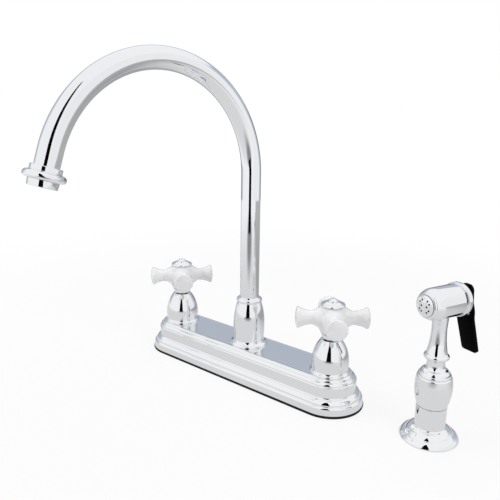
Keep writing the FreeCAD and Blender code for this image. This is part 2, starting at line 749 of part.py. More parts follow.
def swivel():
    """Brazed bush, its two sealing rings, and the glide ring and nut that keep it down."""
    bush = turned("swivel_bush", [
        ("8.2", "bush_seat + 1"),
        ("swivel_r - fit_gap", "bush_seat + 1"),
        ("swivel_r - fit_gap", "31"),
        ("8.9", "31"),
        ("8.9", "33.6"),
        ("swivel_r - fit_gap", "33.6"),
        ("swivel_r - fit_gap", "37"),
        ("8.9", "37"),
        ("8.9", "39.6"),
        ("swivel_r - fit_gap", "39.6"),
        ("swivel_r - fit_gap", "hub_top + 0.3"),
        ("11.9", "hub_top + 0.3"),
        ("11.9", "hub_top + 2.3"),
        ("tube_r + 0.02", "hub_top + 2.3"),
        ("tube_r + 0.02", "tube_foot"),
        ("8.2", "tube_foot"),
    ])
    place(bush, turn=Rotation(Vector(0, 0, 1), mm("spout_yaw")))
    rings = []
    for index, z in enumerate((32.3, 38.3)):
        made = doc.addObject("Part::Torus", f"seal_{index}")
        made.setExpression("Radius1", bound("swivel_r - fit_gap - 0.8"))
        made.Radius2 = 0.78
        made.Placement.Base.z = z
        rings.append(made)
    pair = doc.addObject("Part::Compound", "swivel_seals")
    pair.Label = "swivel_seals"
    pair.Links = rings
    PARTS["swivel_seals"] = pair
    turned("glide_ring", box("10.1", "hub_top + 2.4", "12.2", "hub_top + 3.2"))
    nut = turned("swivel_nut", [
        ("neck_r + 0.05", "hub_top - 8"),
        ("13.7", "hub_top - 8"),
        ("13.7", "hub_top + 5.4"),
        ("10.4", "hub_top + 5.4"),
        ("10.4", "hub_top + 3.25"),
        ("neck_r + 0.05", "hub_top + 3.25"),
    ])
    notch = outline(sketch_on(nut, "notch", "XY_Plane", "hub_top + 3.6"),
                    box("12.8", "0 - 1.5", "15", "1.5"))
    polar(nut, pocket(nut, notch, "4", "notch", "One side", reverse=True), 6)


# ---------------------------------------------------------------- hand spray holder
def spray_holder():
    """Chrome holder: a flange in two rounded tiers, a collar for the wand, a shank below."""
    place(turned("spray_holder", [
        ("9", "holder_foot"),
        ("holder_shank_r", "holder_foot"),
        ("holder_shank_r", "0"),
        ("holder_r - 0.8", "0"),
        ("holder_r", "1.5", 1.8),
        ("20.3", "6.4", 8.5),
        ("19.9", "7.1"),
        ("holder_collar_r + 1.0", "10.9", 11),
        ("holder_collar_r + 0.6", "11.4"),
        ("holder_collar_r", "11.9", -0.7),
        ("holder_collar_r", "collar_top"),
        ("holder_bore_r", "collar_top"),
        ("holder_bore_r", "8"),
        ("9", "8"),
    ]), "spray_x", "spray_y")
    washer = turned("holder_washer", box("holder_shank_r + 0.3", "0 - deck_t - 2.5",
                                         "holder_shank_r + 9", "0 - deck_t"))
    nut = nut_prism("holder_nut", "holder_shank_r + 0.05", "34", "0 - deck_t - 11", "8.4")
    for piece in (washer, nut):
        place(piece, "spray_x", "spray_y")


def place_wand(piece, z="0"):
    """Wand pieces share the holder's axis and the wand's turn."""
    return place(piece, "spray_x", "spray_y", z, Rotation(Vector(0, 0, 1), mm("spray_yaw")))


def hose_coupling():
    """Brass swivel that the hose is crimped to; the wand turns on it."""
    place_wand(turned("hose_coupling", [
        ("2.6", "-2"),
        ("4.8", "-2"),
        ("4.8", "15"),
        ("7.6", "15"),
        ("7.6", "31.6"),
        ("2.6", "31.6"),
    ]))


def wand_grip():
    """Chrome grip: tail in the holder, bulb with a fine band, beaded waist, tapering neck."""
    seat = "collar_top + seat_gap"
    place_wand(turned("wand_grip", [
        ("7.9", "14"),
        ("holder_bore_r - 0.4", "14"),
        ("holder_bore_r - 0.4", seat),
        ("holder_collar_r - 0.2", seat),
        ("holder_collar_r", f"{seat} + 0.3", 0.4),
        ("bulb_r", "bulb_z", 60),
        ("14.9", "57.6", 46),
        ("14.3", "58.5", 1.1),
        ("13.9", "58.7"),
        ("13.9", "59.3"),
        ("13.2", "61.3", 1.9),
        ("12.6", "61.4"),
        ("12.5", "62.0"),
        ("10.1", "64.8", 5.6),
        ("7.8", "67.8", -3.6),
        ("7.6", "72.0", -12),
        ("8.9", "74.4", -2.6),
        ("10.2", "78.1", 2.3),
        ("8.7", "80.2", -3.5),
        ("6.4", "97", -75),
        ("boss_r", "wand_top", -60),
        ("5.0", "wand_top"),
        ("5.0", "wand_top + 6"),
        ("wand_bore_r", "wand_top + 6"),
        ("wand_bore_r", "37"),
        ("7.9", "33"),
    ]))


# ---------------------------------------------------------------- spray head
def spray_head():
    """Chrome barrel with a rounded nose, a valve seat inside and the neck's boss below."""
    owner = new_body("spray_head")
    barrel = outline(sketch_on(owner, "barrel", "XY_Plane"), [
        ("face_r + 0.05", "-19.1"),
        ("face_r + 0.7", "-19.1"),
        ("face_r + 1.7", "-17.5", 1.9),
        ("face_r + 2.1", "-17.3"),
        ("head_r", "-9", 15.4),
        ("head_r", "13.4"),
        ("head_r - 0.9", "14.4"),
        ("head_r - 0.9", "15.6"),
        ("head_bore_r", "15.6"),
        ("head_bore_r", "-4"),
        ("3", "-4"),
        ("3", "-7"),
        ("head_bore_r - 0.6", "-7"),
        ("head_bore_r - 0.6", "-11"),
        ("face_r - 1", "-15.4"),
        ("face_r - 1", "-17.3"),
        ("face_r + 0.05", "-17.3"),
    ])
    revolve(owner, barrel)
    boss = ring(sketch_on(owner, "boss", "XY_Plane", "wand_top - head_z"), "boss_r")
    pad(owner, boss, "5.2", "boss")
    socket = ring(sketch_on(owner, "socket", "XY_Plane"), "5.05")
    pocket(owner, socket, "20", "socket", "One side")
    place_wand(owner, "head_z")


def nozzle_plate():
    """Slightly domed face with two rings of jets, pierced in two polar patterns."""
    owner = new_body("nozzle_plate")
    revolve(owner, outline(sketch_on(owner, "outline", "XY_Plane"), [
        ("0", "-20.9"),
        ("face_r - 0.5", "-19.6", dome("face_r - 0.5", "1.3")),
        ("face_r", "-19.1", 0.6),
        ("face_r", "-17.35"),
        ("0", "-17.35"),
    ]))
    for name, radius, count in (("outer", "jet_ring_r", 12), ("inner", "jet_ring_r / 2", 6)):
        jet = ring(sketch_on(owner, f"{name}_jet", "XZ_Plane"), "jet_r", radius)
        polar(owner, pocket(owner, jet, "60", name), count, "Y_Axis")
    place_wand(owner, "head_z")


def head_cap():
    """Rear cap: a plug in the barrel, the bright ring, the rod's guide and the lever's lug."""
    owner = new_body("head_cap")
    revolve(owner, outline(sketch_on(owner, "outline", "XY_Plane"), [
        ("5.6", "6"),
        ("head_bore_r - 0.05", "6"),
        ("head_bore_r - 0.05", "15.7"),
        ("rear_ring_r - 0.6", "15.7"),
        ("rear_ring_r", "16.6", 0.9),
        ("rear_ring_r", "rear_y - 2.6"),
        ("rear_ring_r - 1.3", "rear_y", 2.9),
        ("5.4", "rear_y"),
        ("4.6", "rear_y + 1.2"),
        ("rod_r + fit_gap", "rear_y + 1.2"),
        ("rod_r + fit_gap", "13"),
        ("5.6", "13"),
    ]))
    lug = outline(sketch_on(owner, "lug", "YZ_Plane"), [
        ("rear_y - 1", "pivot_z - lug_r"),
        ("pivot_y", "pivot_z - lug_r"),
        ("pivot_y + lug_r", "pivot_z", "lug_r"),
        ("pivot_y", "pivot_z + lug_r", "lug_r"),
        ("rear_y - 1", "pivot_z + lug_r"),
    ])
    pad(owner, lug, "lug_w", "lug", "Symmetric")
    hole = ring(sketch_on(owner, "pin_hole", "YZ_Plane"), "pin_r + pin_fit", "pivot_y", "pivot_z")
    pocket(owner, hole, "lug_w + 4", "pin_hole")
    place_wand(owner, "head_z")


def valve_pieces():
    """Rod with its carrier and button, the rubber washer and the sleeve its spring fills."""
    rod = new_body("valve_rod")
    revolve(rod, outline(sketch_on(rod, "outline", "XY_Plane"), [
        ("0", "-5"),
        ("1.5", "-5"),
        ("1.5", "-2"),
        ("5", "-2"),
        ("5", "0"),
        ("rod_r", "0"),
        ("rod_r", "lever_y + lever_t + 0.7"),
        ("5", "lever_y + lever_t + 0.7"),
        ("5", "lever_y + lever_t + 1.9"),
        ("0", "lever_y + lever_t + 3.3", dome("5", "1.4")),
    ]))
    washer = new_body("valve_washer")
    revolve(washer, outline(sketch_on(washer, "outline", "XY_Plane"),
                            box("1.55", "-3.95", "5", "-2.02")))
    spring = new_body("valve_spring")
    revolve(spring, outline(sketch_on(spring, "outline", "XY_Plane"),
                            box("rod_r + 0.3", "0.05", "4.9", "12.95")))
    for piece in (rod, washer, spring):
        place_wand(piece, "head_z")


def lever():
    """Black lever: an upright plate, a raked tail, and two cheeks that hang on the pin."""
    owner = new_body("spray_lever")
    side = outline(sketch_on(owner, "side", "YZ_Plane"), [
        ("lever_y + 1.0", "-16"),
        ("lever_y + 1.6", "-20.4", 22),
        ("lever_y + 11.6", "-50.4"),
        ("lever_y + 13.2", "-52", 1.6),
        ("lever_y + 15.4", "-50", 2.1),
        ("lever_y + 4.9", "-19.8"),
        ("lever_y + lever_t + 1.0", "-15", -16),
        ("lever_y + lever_t - 0.8", "11.2"),
        ("lever_y + lever_t - 1.8", "12.2", 1),
        ("lever_y + 0.2", "12.2"),
        ("lever_y - 0.8", "11.2", 1),
    ])
    pad(owner, side, "lever_w", side="Symmetric")
    trim_lever(owner)
    cheeks = outline(sketch_on(owner, "cheeks", "YZ_Plane"), [
        ("lever_y + 1.4", "pivot_z - lug_r - 1"),
        ("lever_y + 1.4", "pivot_z + lug_r + 1"),
        ("pivot_y", "pivot_z + lug_r"),
        ("pivot_y - lug_r", "pivot_z", "lug_r"),
        ("pivot_y", "pivot_z - lug_r", "lug_r"),
    ])
    pad(owner, cheeks, "lug_w + 2 * cheek_gap + 2 * cheek_t", "cheeks", "Symmetric")
    gap = outline(sketch_on(owner, "gap", "XY_Plane", "pivot_z - 6"),
                  box("0 - lug_w / 2 - cheek_gap", "20", "lug_w / 2 + cheek_gap", "lever_y - 0.1"))
    pocket(owner, gap, "12", "gap", "One side", reverse=True)
    slot = outline(sketch_on(owner, "slot", "XZ_Plane"),
                   box("0 - rod_r - 0.5", "0 - 2.8", "rod_r + 0.5", "4.3"))
    pocket(owner, slot, "120", "slot")
    hole = ring(sketch_on(owner, "pin_hole", "YZ_Plane"), "pin_r + cheek_fit", "pivot_y", "pivot_z")
    pocket(owner, hole, "lever_w + 4", "pin_hole")
    place_wand(owner, "head_z")


def trim_lever(owner):
    """Cuts the lever's front view: a narrow round top that widens to a tail with round corners."""
    front = outline(sketch_on(owner, "front", "XZ_Plane"),
                    box("0 - lever_w", "0 - 60", "lever_w", "20"))
    half = [
        ("lever_w / 2 - 4", "0 - 52.2"),
        ("lever_w / 2 - 0.7", "0 - 48.9", 3.4),
        ("lever_w / 2", "0 - 17"),
        ("lever_w / 2 - 1.9", "0 - 4", 30),
        ("lever_w / 2 - 2.3", "6"),
        ("1.2", "12.3", 5.6),
    ]
    mirrored = [(f"0 - ({x})", z) for x, z, *_ in half]
    radii = [corner[2:] for corner in half]
    left = [mirrored[-1]]
    left += [mirrored[index] + radii[index + 1] for index in range(len(half) - 2, -1, -1)]
    outline(front, half + left)
    pocket(owner, front, "200", "front")


def lever_pin():
    """One pin pressed through the lug; both cheeks turn on it."""
    owner = new_body("lever_pin")
    section = ring(sketch_on(owner, "section", "YZ_Plane"), "pin_r", "pivot_y", "pivot_z")
    pad(owner, section, "lug_w + 2 * cheek_gap + 2 * cheek_t - 2 * pin_recess", side="Symmetric")
    place_wand(owner, "head_z")


# ---------------------------------------------------------------- build, test and write
deck_gasket()
deck_plate()
spout_hub()
diverter()
swivel()
spout_bell()
for valve_piece in (valve_body, water_way, mounting_washer, mounting_nut, seat_seal, fixed_disc,
                    turning_disc, cartridge, stem, handle_bell, hub_cup, handle_screw, index_cap):
    twins(valve_piece)
for side_name, side_x in (("hot", "0 - valve_pitch"), ("cold", "valve_pitch")):
    place(cross(side_name), side_x, "0", "arm_z",
          Rotation(Vector(0, 0, 1), mm(f"{side_name}_yaw")))
gooseneck_tube()
spout_tip_pieces()
spray_holder()
hose_coupling()
wand_grip()
spray_head()
nozzle_plate()
head_cap()
valve_pieces()
lever()
lever_pin()
doc.recompute()

failed = [item.Name for item in doc.Objects if {"Invalid", "Error"} & set(item.State)]
if failed:
    raise RuntimeError(f"these objects failed: {failed}")
os.makedirs("parts", exist_ok=True)
for label, part in PARTS.items():
    if part.Shape.isNull() or not part.Shape.isValid() or part.Shape.Volume <= 0:
        raise RuntimeError(f"{label} has no valid solid")
    part.Shape.exportStep(f"parts/{label}.step")
print(len(PARTS), "sub-parts written")
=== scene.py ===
"""Side spray kitchen faucet, dressed: chrome plate, porcelain cross handles, black lever.

Outlines are in millimetres, in the CAD frame, and are turned into metres as a piece is made.
"""
import math

import bmesh
import bpy
from mathutils import Matrix, Vector
from mathutils.geometry import tessellate_polygon


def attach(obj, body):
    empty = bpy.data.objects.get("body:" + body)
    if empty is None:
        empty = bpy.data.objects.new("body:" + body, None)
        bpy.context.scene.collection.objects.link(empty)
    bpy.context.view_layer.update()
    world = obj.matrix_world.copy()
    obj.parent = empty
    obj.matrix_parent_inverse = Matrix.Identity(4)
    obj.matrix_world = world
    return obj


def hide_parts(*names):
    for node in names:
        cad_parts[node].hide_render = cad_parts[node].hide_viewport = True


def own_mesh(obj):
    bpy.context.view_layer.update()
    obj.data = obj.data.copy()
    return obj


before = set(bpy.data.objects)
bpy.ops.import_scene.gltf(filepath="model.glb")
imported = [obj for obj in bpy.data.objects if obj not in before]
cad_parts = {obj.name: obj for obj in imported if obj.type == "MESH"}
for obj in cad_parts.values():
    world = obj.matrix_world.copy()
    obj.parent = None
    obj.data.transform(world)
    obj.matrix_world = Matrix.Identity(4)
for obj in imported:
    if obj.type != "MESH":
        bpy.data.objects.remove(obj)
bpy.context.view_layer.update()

# ------------------------------------------------------------------------------------ deck plate
# One die-cast or pressed cover in polished chrome over nickel: a lean band at its foot, a bead and
# a quarter round, a broad band, another bead and a flat top with three holes. Its ends are half
# round and it is open below. The outline's corners are (inset from the foot, height).
HALF_RUN, FOOT_RADIUS = 101.8, 33.1
TOP, TOP_UNDERSIDE, TOP_INSET, TOP_HOLE = 33.0, 31.7, 14.2, 13.0
VALVE_X = 101.6
PLATE_OUTLINE = [
    (1.7, 2.0), (0.3, 2.0), (0.0, 2.8, 0.9), (0.7, 7.2), (2.5, 10.0, 2.4), (2.8, 10.6, -0.8),
    (6.6, 15.2, 5.2), (7.7, 16.4, -1.5), (7.2, 26.6, 62), (8.2, 27.1), (10.0, 30.3, 3.2),
    (10.6, 30.6), (13.0, TOP, 2.6), (TOP_INSET, TOP), (TOP_INSET, TOP_UNDERSIDE),
    (13.5, TOP_UNDERSIDE), (9.3, 26.2), (9.3, 15.6), (4.1, 9.2), (2.2, 6.6),
]


def added(tree, kind, inputs=None, **settings):
    """A node with its settings, and its inputs given as values or as sockets to link."""
    node = tree.nodes.new(kind)
    for key, value in settings.items():
        setattr(node, key, value)
    for key, value in (inputs or {}).items():
        if isinstance(value, bpy.types.NodeSocket):
            tree.links.new(value, node.inputs[key])
        else:
            node.inputs[key].default_value = value
    return node


def grain(tree, per_metre, detail=3.0, stretch=(1, 1, 1)):
    """Noise fixed to the piece, with so many features to the metre, stretched along an axis."""
    place = added(tree, "ShaderNodeTexCoord").outputs["Object"]
    scaled = added(tree, "ShaderNodeMapping", {"Vector": place, "Scale": stretch}).outputs["Vector"]
    return added(tree, "ShaderNodeTexNoise",
                 {"Vector": scaled, "Scale": per_metre, "Detail": detail}).outputs["Fac"]


def spread(tree, factor, low, high):
    """The noise's middle range carried over to low..high."""
    return added(tree, "ShaderNodeMapRange",
                 {"Value": factor, "From Min": 0.3, "From Max": 0.7, "To Min": low,
                  "To Max": high}).outputs["Result"]


def tinted(tree, factor, first, second):
    """A colour that drifts from one to the other with the noise."""
    ramp = added(tree, "ShaderNodeValToRGB", {"Fac": factor})
    ramp.color_ramp.elements[0].position = 0.35
    ramp.color_ramp.elements[0].color = (*first, 1.0)
    ramp.color_ramp.elements[1].position = 0.65
    ramp.color_ramp.elements[1].color = (*second, 1.0)
    return ramp.outputs["Color"]


def finish_of(name, colour, roughness, metallic=0.0, drift=None, gloss=None, bumps=None):
    """A new material and its shader, with noise over the plain values on its sockets.

    A noise is (per metre, detail, stretch). drift is (noise, a colour, another colour), gloss is
    (noise, least roughness, most roughness) and bumps is (noise, depth in mm, strength).
    """
    material = bpy.data.materials.new(name)
    material.use_nodes = True
    tree = material.node_tree
    shader = tree.nodes["Principled BSDF"]
    shader.inputs["Base Color"].default_value = (*colour, 1.0)
    shader.inputs["Roughness"].default_value = roughness
    shader.inputs["Metallic"].default_value = metallic
    if drift:
        noise, first, second = drift
        tree.links.new(tinted(tree, grain(tree, *noise), first, second),
                       shader.inputs["Base Color"])
    if gloss:
        noise, low, high = gloss
        tree.links.new(spread(tree, grain(tree, *noise), low, high), shader.inputs["Roughness"])
    if bumps:
        noise, depth_mm, strength = bumps
        bump = added(tree, "ShaderNodeBump", {
            "Height": grain(tree, *noise), "Distance": depth_mm / 1000, "Strength": strength})
        tree.links.new(bump.outputs["Normal"], shader.inputs["Normal"])
    return material, shader


def traced(corners):
    """Points of a closed outline. A corner is (x, y), or (x, y, radius) where an arc arrives."""
    points = []
    for index, corner in enumerate(corners):
        start, end = Vector(corners[index - 1][:2]), Vector(corner[:2])
        if len(corner) == 3:
            chord = end - start
            rise = math.sqrt(max(corner[2] ** 2 - (chord.length / 2) ** 2, 0.0))
            left = Vector((-chord.y, chord.x)).normalized()
            centre = (start + end) / 2 + left * math.copysign(rise, corner[2])
            spoke = start - centre
            sweep = 2 * math.asin(min(chord.length / 2 / abs(corner[2]), 1.0))
            steps = max(2, math.ceil(math.degrees(sweep) / 5))
            for step in range(1, steps):
                turn = math.copysign(sweep * step / steps, corner[2])
                points.append(centre + Matrix.Rotation(turn, 2) @ spoke)
        points.append(end)
    return points


def eased(points, ease):
    """The outline with its sharp corners rounded off by about ease, except those on the axis."""
    smooth = []
    for index, point in enumerate(points):
        before, after = points[index - 1] - point, points[(index + 1) % len(points)] - point
        turn = math.pi - before.angle(after, math.pi)
        if turn < math.radians(20) or abs(point.x) < 1e-6:
            smooth.append(point)
            continue
        back = min(ease, 0.4 * before.length, 0.4 * after.length)
        first, last = point + before.normalized() * back, point + after.normalized() * back
        for share in (0, 0.25, 0.5, 0.75, 1):
            smooth.append(first.lerp(point, share).lerp(point.lerp(last, share), share))
    return smooth


def set_out(name, mesh):
    """The mesh on a new object in the scene, at the origin."""
    piece = bpy.data.objects.new(name, mesh)
    bpy.context.scene.collection.objects.link(piece)
    return piece


def shaded_smooth(mesh, sharp_from):
    """Smooth faces, with an edge where they meet at more than so many degrees."""
    mesh.polygons.foreach_set("use_smooth", [True] * len(mesh.polygons))
    mesh.set_sharp_from_angle(angle=math.radians(sharp_from))


def finished_mesh(name, shape):
    """The bmesh as an object, its faces outwards and smooth between sharp edges."""
    bmesh.ops.recalc_face_normals(shape, faces=shape.faces)
    mesh = bpy.data.meshes.new(name)
    shape.to_mesh(mesh)
    shape.free()
    shaded_smooth(mesh, 32)
    return set_out(name, mesh)


def skin(name, loops, closed=True):
    """A mesh through successive loops of equal count. A loop of one point is a pole."""
    shape = bmesh.new()
    rows = [[shape.verts.new(Vector(point) / 1000) for point in loop] for loop in loops]
    for row, following in zip(rows, rows[1:] + (rows[:1] if closed else [])):
        for index in range(max(len(row), len(following))):
            ring = [row[index % len(row)], row[(index + 1) % len(row)],
                    following[(index + 1) % len(following)], following[index % len(following)]]
            corners = list(dict.fromkeys(ring))
            if len(corners) > 2:
                shape.faces.new(corners)
    return finished_mesh(name, shape)


def fitted(piece, material, slot, body, *names):
    """The piece takes its material, rides on its body and stands for those CAD nodes."""
    piece.data.materials.clear()
    piece.data.materials.append(material)
    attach(piece, body)
    if names:
        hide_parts(*names)


def plate_loop(inset, height):
    """The plate's plan at one level: the foot's outline moved in by inset."""
    steps = 48
    radius = FOOT_RADIUS - inset
    loop = []
    for centre, first in ((HALF_RUN, -90), (-HALF_RUN, 90)):
        for step in range(steps + 1):
            angle = math.radians(first + 180 * step / steps)
            loop.append((centre + radius * math.cos(angle), radius * math.sin(angle), height))
    return loop


def plate_section(corners):
    """Loops of the plate for an outline given as (inset, height) corners."""
    outline = [(-inset, height, *turn) for inset, height, *turn in corners]
    return [plate_loop(-point.x, point.y) for point in eased(traced(outline), 0.25)]


def plate_top(height, inset, radius):
    """A flat plan at one level, with its three holes, as triangles."""
    steps = 64
    rim = [Vector(point) for point in plate_loop(inset, height)]
    holes = [[Vector((x + radius * math.cos(math.tau * step / steps),
                      -radius * math.sin(math.tau * step / steps), height))
              for step in range(steps)] for x in (-VALVE_X, 0.0, VALVE_X)]
    points = rim + [point for hole in holes for point in hole]
    return points, tessellate_polygon([rim] + holes), holes


def pierced_slab(shape, top, bottom, inset, radius, walled):
    """Adds two flat faces with three holes, the holes' walls and, if walled, the rim's wall."""
    levels = []
    for height in (top, bottom):
        points, faces, holes = plate_top(height, inset, radius)
        levels.append([shape.verts.new(point / 1000) for point in points])
        for triple in faces:
            shape.faces.new([levels[-1][index] for index in triple])
    around = len(holes[0])
    rim = len(points) - 3 * around
    runs = [(rim + around * hole, around) for hole in range(3)]
    for first, size in runs + ([(0, rim)] if walled else []):
        for index in range(size):
            following = first + (index + 1) % size
            shape.faces.new([levels[0][first + index], levels[0][following],
                             levels[1][following], levels[1][first + index]])


polished_chrome, _ = finish_of(
    "polished_chrome", (0.86, 0.87, 0.885), 0.04, 1.0,
    drift=((9, 2), (0.85, 0.86, 0.88), (0.88, 0.885, 0.895)),
    gloss=((34, 4), 0.025, 0.075), bumps=((70, 1), 0.03, 0.35))

walls_alone = skin("plate_cover", plate_section(PLATE_OUTLINE))
top_shape = bmesh.new()
top_shape.from_mesh(walls_alone.data)
pierced_slab(top_shape, TOP, TOP_UNDERSIDE, TOP_INSET, TOP_HOLE, walled=False)
rim_walls = [face for face in top_shape.faces
             if all(abs(abs(vert.co.y) * 1000 - (FOOT_RADIUS - TOP_INSET)) < 1e-3
                    or abs(vert.co.x) > HALF_RUN / 1000 for vert in face.verts)
             and {round(vert.co.z * 1000, 2) for vert in face.verts} == {TOP_UNDERSIDE, TOP}]
bmesh.ops.delete(top_shape, geom=rim_walls, context="FACES_ONLY")
bmesh.ops.remove_doubles(top_shape, verts=top_shape.verts, dist=1e-6)
bpy.data.objects.remove(walls_alone)
fitted(finished_mesh("plate_cover", top_shape), polished_chrome, "chrome", "deck_body",
       "deck_plate")

# ----------------------------------------------------------------------------------- deck gasket
# A black rubber mat, die-cut to the plate's foot, with a hole for each shank. Its edge is squeezed
# out a little and shows as a thin black line between the chrome and the deck.
MAT_THICKNESS, MAT_HOLE = 2.0, 11.5


def joined(name, *pieces):
    """Several shells as one piece."""
    shape = bmesh.new()
    for piece in pieces:
        shape.from_mesh(piece.data)
        bpy.data.objects.remove(piece)
    mesh = bpy.data.meshes.new(name)
    shape.to_mesh(mesh)
    shape.free()
    return set_out(name, mesh)


black_rubber, rubber_shader = finish_of(
    "black_rubber", (0.006, 0.006, 0.007), 0.7,
    drift=((260,), (0.004, 0.004, 0.005), (0.009, 0.009, 0.01)),
    gloss=((900,), 0.6, 0.85), bumps=((2600,), 0.05, 0.6))
rubber_shader.inputs["Specular IOR Level"].default_value = 0.25
mat_shape = bmesh.new()
pierced_slab(mat_shape, MAT_THICKNESS, 0.0, 0.0, MAT_HOLE, walled=True)
mat = finished_mesh("mat", mat_shape)
bulge = skin("bulge", plate_section([
    (2.0, 0.02), (-0.35, 0.02), (-0.6, 1.1), (-0.35, 2.2), (0.03, 2.35), (0.35, 1.9), (2.0, 1.9)]))
fitted(joined("gasket", mat, bulge), black_rubber, "black_rubber", "deck_body", "deck_gasket")

# ----------------------------------------------------------------------- shanks, hub and nuts
# Under the deck: machined brass shanks with a coarse thread for the nuts and a finer supply thread
# below, the hub's hose thread, hexagon nuts and black nylon washers. None of it is plated.
SIDES = (("hot", -VALVE_X), ("cold", VALVE_X))


def dressed(material, *names):
    """Gives carried-over CAD nodes their material."""
    for name in names:
        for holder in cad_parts[name].material_slots:
            holder.material = material


def lathed(name, corners, centre=(0, 0), steps=96, ease=0.2, place=None):
    """A piece turned from (radius, height) corners about the upright axis through centre."""
    place = place or Matrix.Translation((*centre, 0))
    loops = []
    for point in eased(traced(corners), ease):
        if abs(point.x) < 1e-6:
            loops.append([place @ Vector((0, 0, point.y))])
            continue
        loops.append([place @ Vector((point.x * math.cos(math.tau * step / steps),
                                      point.x * math.sin(math.tau * step / steps), point.y))
                      for step in range(steps)])
    return skin(name, loops)


def tree_of(name, inputs):
    """An empty Geometry Nodes tree with named number inputs, its group input and its output."""
    tree = bpy.data.node_groups.new(name, "GeometryNodeTree")
    tree.interface.new_socket("Base", in_out="INPUT", socket_type="NodeSocketGeometry")
    for label, value in inputs.items():
        kind = "NodeSocketInt" if isinstance(value, int) else "NodeSocketFloat"
        tree.interface.new_socket(label, in_out="INPUT", socket_type=kind).default_value = value
    tree.interface.new_socket("Geometry", in_out="OUTPUT", socket_type="NodeSocketGeometry")
    return tree, tree.nodes.new("NodeGroupInput"), tree.nodes.new("NodeGroupOutput")


def closed_tree(tree, geometry, material, out):
    """The tree's end: instances made real and the material set."""
    real = added(tree, "GeometryNodeRealizeInstances", {"Geometry": geometry})
    shaded = added(tree, "GeometryNodeSetMaterial",
                   {"Geometry": real.outputs["Geometry"], "Material": material})
    tree.links.new(shaded.outputs["Geometry"], out.inputs["Geometry"])


def plain_copy(piece, name):
    """The piece's mesh as its modifiers leave it."""
    mesh = bpy.data.meshes.new_from_object(
        piece.evaluated_get(bpy.context.evaluated_depsgraph_get()))
    mesh.name = name
    return mesh


def grown(name, tree, values, base=None):
    """What the tree makes with these inputs, as a plain mesh on a new object."""
    host = set_out(name + "_host", base or bpy.data.meshes.new(name + "_host"))
    modifier = host.modifiers.new("tree", "NODES")
    modifier.node_group = tree
    for item in tree.interface.items_tree:
        if item.in_out == "INPUT" and item.name in values:
            modifier[item.identifier] = values[item.name]
    mesh = plain_copy(host, name)
    host.modifiers.remove(modifier)
    bpy.data.objects.remove(host)
    return set_out(name, mesh)


machined_brass, _ = finish_of(
    "machined_brass", (0.74, 0.55, 0.27), 0.3, 1.0,
    drift=((60, 4), (0.62, 0.44, 0.2), (0.8, 0.62, 0.32)),
    gloss=((40, 5, (1, 1, 60)), 0.2, 0.42), bumps=((40, 2, (1, 1, 90)), 0.04, 0.5))

thread_tree, thread_in, thread_out = tree_of(
    "thread", {"Radius": 0.01, "Height": 0.03, "Turns": 10.0, "Depth": 0.0008, "Foot": 0.0,
               "Across": 0.0, "Along": 0.0})
helix = added(thread_tree, "GeometryNodeCurveSpiral",
              {"Resolution": 40, "Rotations": thread_in.outputs["Turns"],
               "Start Radius": thread_in.outputs["Radius"],
               "End Radius": thread_in.outputs["Radius"],
               "Height": thread_in.outputs["Height"]})
ridge = added(thread_tree, "GeometryNodeCurvePrimitiveCircle",
              {"Resolution": 6, "Radius": thread_in.outputs["Depth"]})
wound = added(thread_tree, "GeometryNodeCurveToMesh",
              {"Curve": helix.outputs["Curve"], "Profile Curve": ridge.outputs["Curve"],
               "Fill Caps": True})
spot = added(thread_tree, "ShaderNodeCombineXYZ",
             {"X": thread_in.outputs["Across"], "Y": thread_in.outputs["Along"],
              "Z": thread_in.outputs["Foot"]})
set_down = added(thread_tree, "GeometryNodeTransform",
                 {"Geometry": wound.outputs["Mesh"], "Translation": spot.outputs["Vector"]})
closed_tree(thread_tree, set_down.outputs["Geometry"], machined_brass, thread_out)


def thread(name, radius, foot, top, pitch, centre=(0, 0)):
    """A helical ridge whose crest reaches the radius, in millimetres."""
    depth = 0.3 * pitch
    return grown(name, thread_tree, {
        "Radius": (radius - depth) / 1000, "Height": (top - foot) / 1000,
        "Turns": (top - foot) / pitch, "Depth": depth / 1000, "Foot": foot / 1000,
        "Across": centre[0] / 1000, "Along": centre[1] / 1000})


def hexagon_nut(name, hole, flats, foot, height, centre):
    """A nut whose corners are cut by a cone at both faces and whose hole has a lead-in."""
    steps, chamfer, lead_in = 96, 1.1, 0.5
    apothem, top = flats / 2, foot + height
    face, uncut = apothem - 0.2, apothem * 1.2

    def level(z, limit):
        loop = []
        for step in range(steps):
            angle = math.tau * step / steps
            lean = (math.degrees(angle) % 60) - 30
            reach = min(apothem / math.cos(math.radians(lean)), limit)
            loop.append((centre[0] + reach * math.cos(angle),
                         centre[1] + reach * math.sin(angle), z))
        return loop

    def ring(z, radius):
        return [(centre[0] + radius * math.cos(math.tau * step / steps),
                 centre[1] + radius * math.sin(math.tau * step / steps), z)
                for step in range(steps)]

    return skin(name, [
        ring(foot, hole + lead_in), level(foot, face), level(foot + chamfer, uncut),
        level(top - chamfer, uncut), level(top, face), ring(top, hole + lead_in),
        ring(top - lead_in, hole), ring(foot + lead_in, hole)])


for side, x in SIDES:
    body = lathed(f"{side}_shank", [
        (6, -58), (9.6, -58), (9.6, -36), (9.5, -34), (9.8, -34), (9.8, 2), (14, 2), (14, 30),
        (12.4, 30), (12.4, 46), (9.5, 46), (9.5, 13), (6, 13)], (x, 0), 72)
    supply = thread(f"{side}_supply_thread", 10.3, -57, -37, 1.81, (x, 0))
    shank = thread(f"{side}_shank_thread", 10.5, -33, -2, 1.6, (x, 0))
    fitted(joined(f"{side}_shank_threaded", body, supply, shank), machined_brass, "brass",
           "deck_body", f"{side}_valve_body")
    fitted(hexagon_nut(f"{side}_shank_nut", 10.55, 30, -33, 7.4, (x, 0)), machined_brass, "brass",
           "deck_body", f"{side}_mounting_nut")

